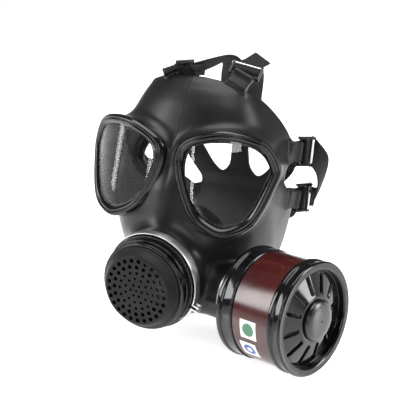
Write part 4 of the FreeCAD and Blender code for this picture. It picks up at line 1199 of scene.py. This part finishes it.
def finishes():
    """One material for each slot of the record."""
    black = (0.004, 0.004, 0.0045)
    return {
        "moulded_rubber": rubber("moulded_rubber_look"),
        "harness_rubber": surface("harness_rubber_look", (0.006, 0.006, 0.0065),
                                  (0.011, 0.011, 0.0115), (0.4, 0.5), 40.0, 1400.0, 0.000006,
                                  specular=0.22),
        "nose_cup_rubber": surface("nose_cup_look", (0.008, 0.008, 0.009),
                                   (0.013, 0.013, 0.014), (0.26, 0.38), 40.0, 1400.0),
        "gasket_rubber": surface("gasket_look", (0.015, 0.015, 0.015), (0.025, 0.025, 0.025),
                                 (0.5, 0.65)),
        "valve_silicone": surface("silicone_look", (0.5, 0.5, 0.47), (0.58, 0.58, 0.55),
                                  (0.3, 0.4)),
        "clear_lens": clear_plastic("clear_lens_look"),
        "gloss_frame": surface("gloss_frame_look", (0.002, 0.002, 0.002),
                               (0.005, 0.005, 0.0055), (0.1, 0.18), 50.0, 1800.0, 0.00001,
                               specular=0.36),
        "satin_plastic": surface("satin_plastic_look", black, (0.008, 0.008, 0.009),
                                 (0.24, 0.34), 50.0, 1800.0, 0.00003),
        "matte_plastic": surface("matte_plastic_look", (0.006, 0.006, 0.0063),
                                 (0.011, 0.011, 0.0115), (0.44, 0.56), 50.0, 2600.0, 0.0001,
                                 specular=0.16),
        "buckle_plastic": surface("buckle_look", black, (0.007, 0.007, 0.0075), (0.34, 0.46),
                                  50.0, 1800.0, 0.00002, specular=0.3),
        # painted shade: the film and the aluminium ring behind the cover's holes are coloured
        # far darker than their own tone, to stand in for the shade inside the valve
        "film": surface("film_painted_shade_look", (0.03, 0.03, 0.028), (0.05, 0.05, 0.048), (0.2, 0.3)),
        "aluminium_ring": surface("aluminium_painted_shade_look", (0.14, 0.14, 0.15), (0.2, 0.2, 0.21),
                                  (0.35, 0.45), metallic=1.0),
        "steel_band": surface("steel_band_look", (0.66, 0.66, 0.67), (0.82, 0.82, 0.83),
                              (0.3, 0.38), 30.0, 400.0, 0.000003, metallic=1.0),
        "steel_screw": surface("steel_screw_look", (0.45, 0.45, 0.46), (0.6, 0.6, 0.61),
                               (0.25, 0.4), metallic=1.0),
        "bright_bar": surface("bright_bar_look", (0.4, 0.4, 0.41), (0.5, 0.5, 0.51),
                              (0.08, 0.18), metallic=1.0),
        "steel_screen": surface("screen_look", (0.4, 0.4, 0.4), (0.55, 0.55, 0.55),
                                (0.3, 0.5), metallic=1.0),
        "gloss_enamel": surface("gloss_enamel_look", (0.002, 0.002, 0.0025),
                                (0.004, 0.004, 0.005), (0.07, 0.13), 35.0, 900.0, 0.00001,
                                specular=0.36),
        "satin_dome": surface("satin_dome_look", (0.004, 0.004, 0.005),
                              (0.008, 0.008, 0.01), (0.2, 0.28), 50.0, 1800.0, 0.00003),
        "label_film": label_film("label_film_look"),
        "carbon": surface("carbon_look", (0.01, 0.01, 0.01), (0.03, 0.03, 0.03),
                          (0.6, 0.8), 400.0, 900.0, 0.0004),
        "filter_paper": surface("filter_paper_look", (0.66, 0.65, 0.6), (0.78, 0.77, 0.72),
                                (0.7, 0.85), 300.0, 900.0, 0.0002),
        "webbing": webbing("webbing_look"),
    }


def dress_cad_nodes(looks):
    """Gives each CAD node that stays in view the material of its slot."""
    for part in frame["record"]["subparts"]:
        node = frame["nodes"][part["node"]]
        if node.hide_render:
            continue
        node.data.materials.clear()
        node.data.materials.append(looks[part["material_slot"]])


add_camera()
add_lights()
add_floor()
looks = finishes()
add_face_blank(looks["moulded_rubber"])
add_lens_frames(looks["gloss_frame"])
add_lenses(looks["clear_lens"])
add_outlet_cover(looks["matte_plastic"])
add_collar(looks["gloss_frame"])
add_clamp("outlet_clamp", 44.2, 32.8, 9.6, OUTLET, -20.0, "mask", looks["steel_band"],
          looks["steel_screw"])
add_canister(looks["gloss_enamel"], looks["satin_dome"], looks["label_film"])
for lug in LUGS:
    add_buckle(lug, looks["buckle_plastic"], looks["bright_bar"])
for kind in ("forehead_left", "forehead_right", "temple_left", "cheek_left"):
    add_strap(kind, False, looks["webbing"])
for kind in ("temple_left", "cheek_left"):
    add_strap(kind, True, looks["webbing"])
add_harness_plate(looks["harness_rubber"])
dress_cad_nodes(looks)
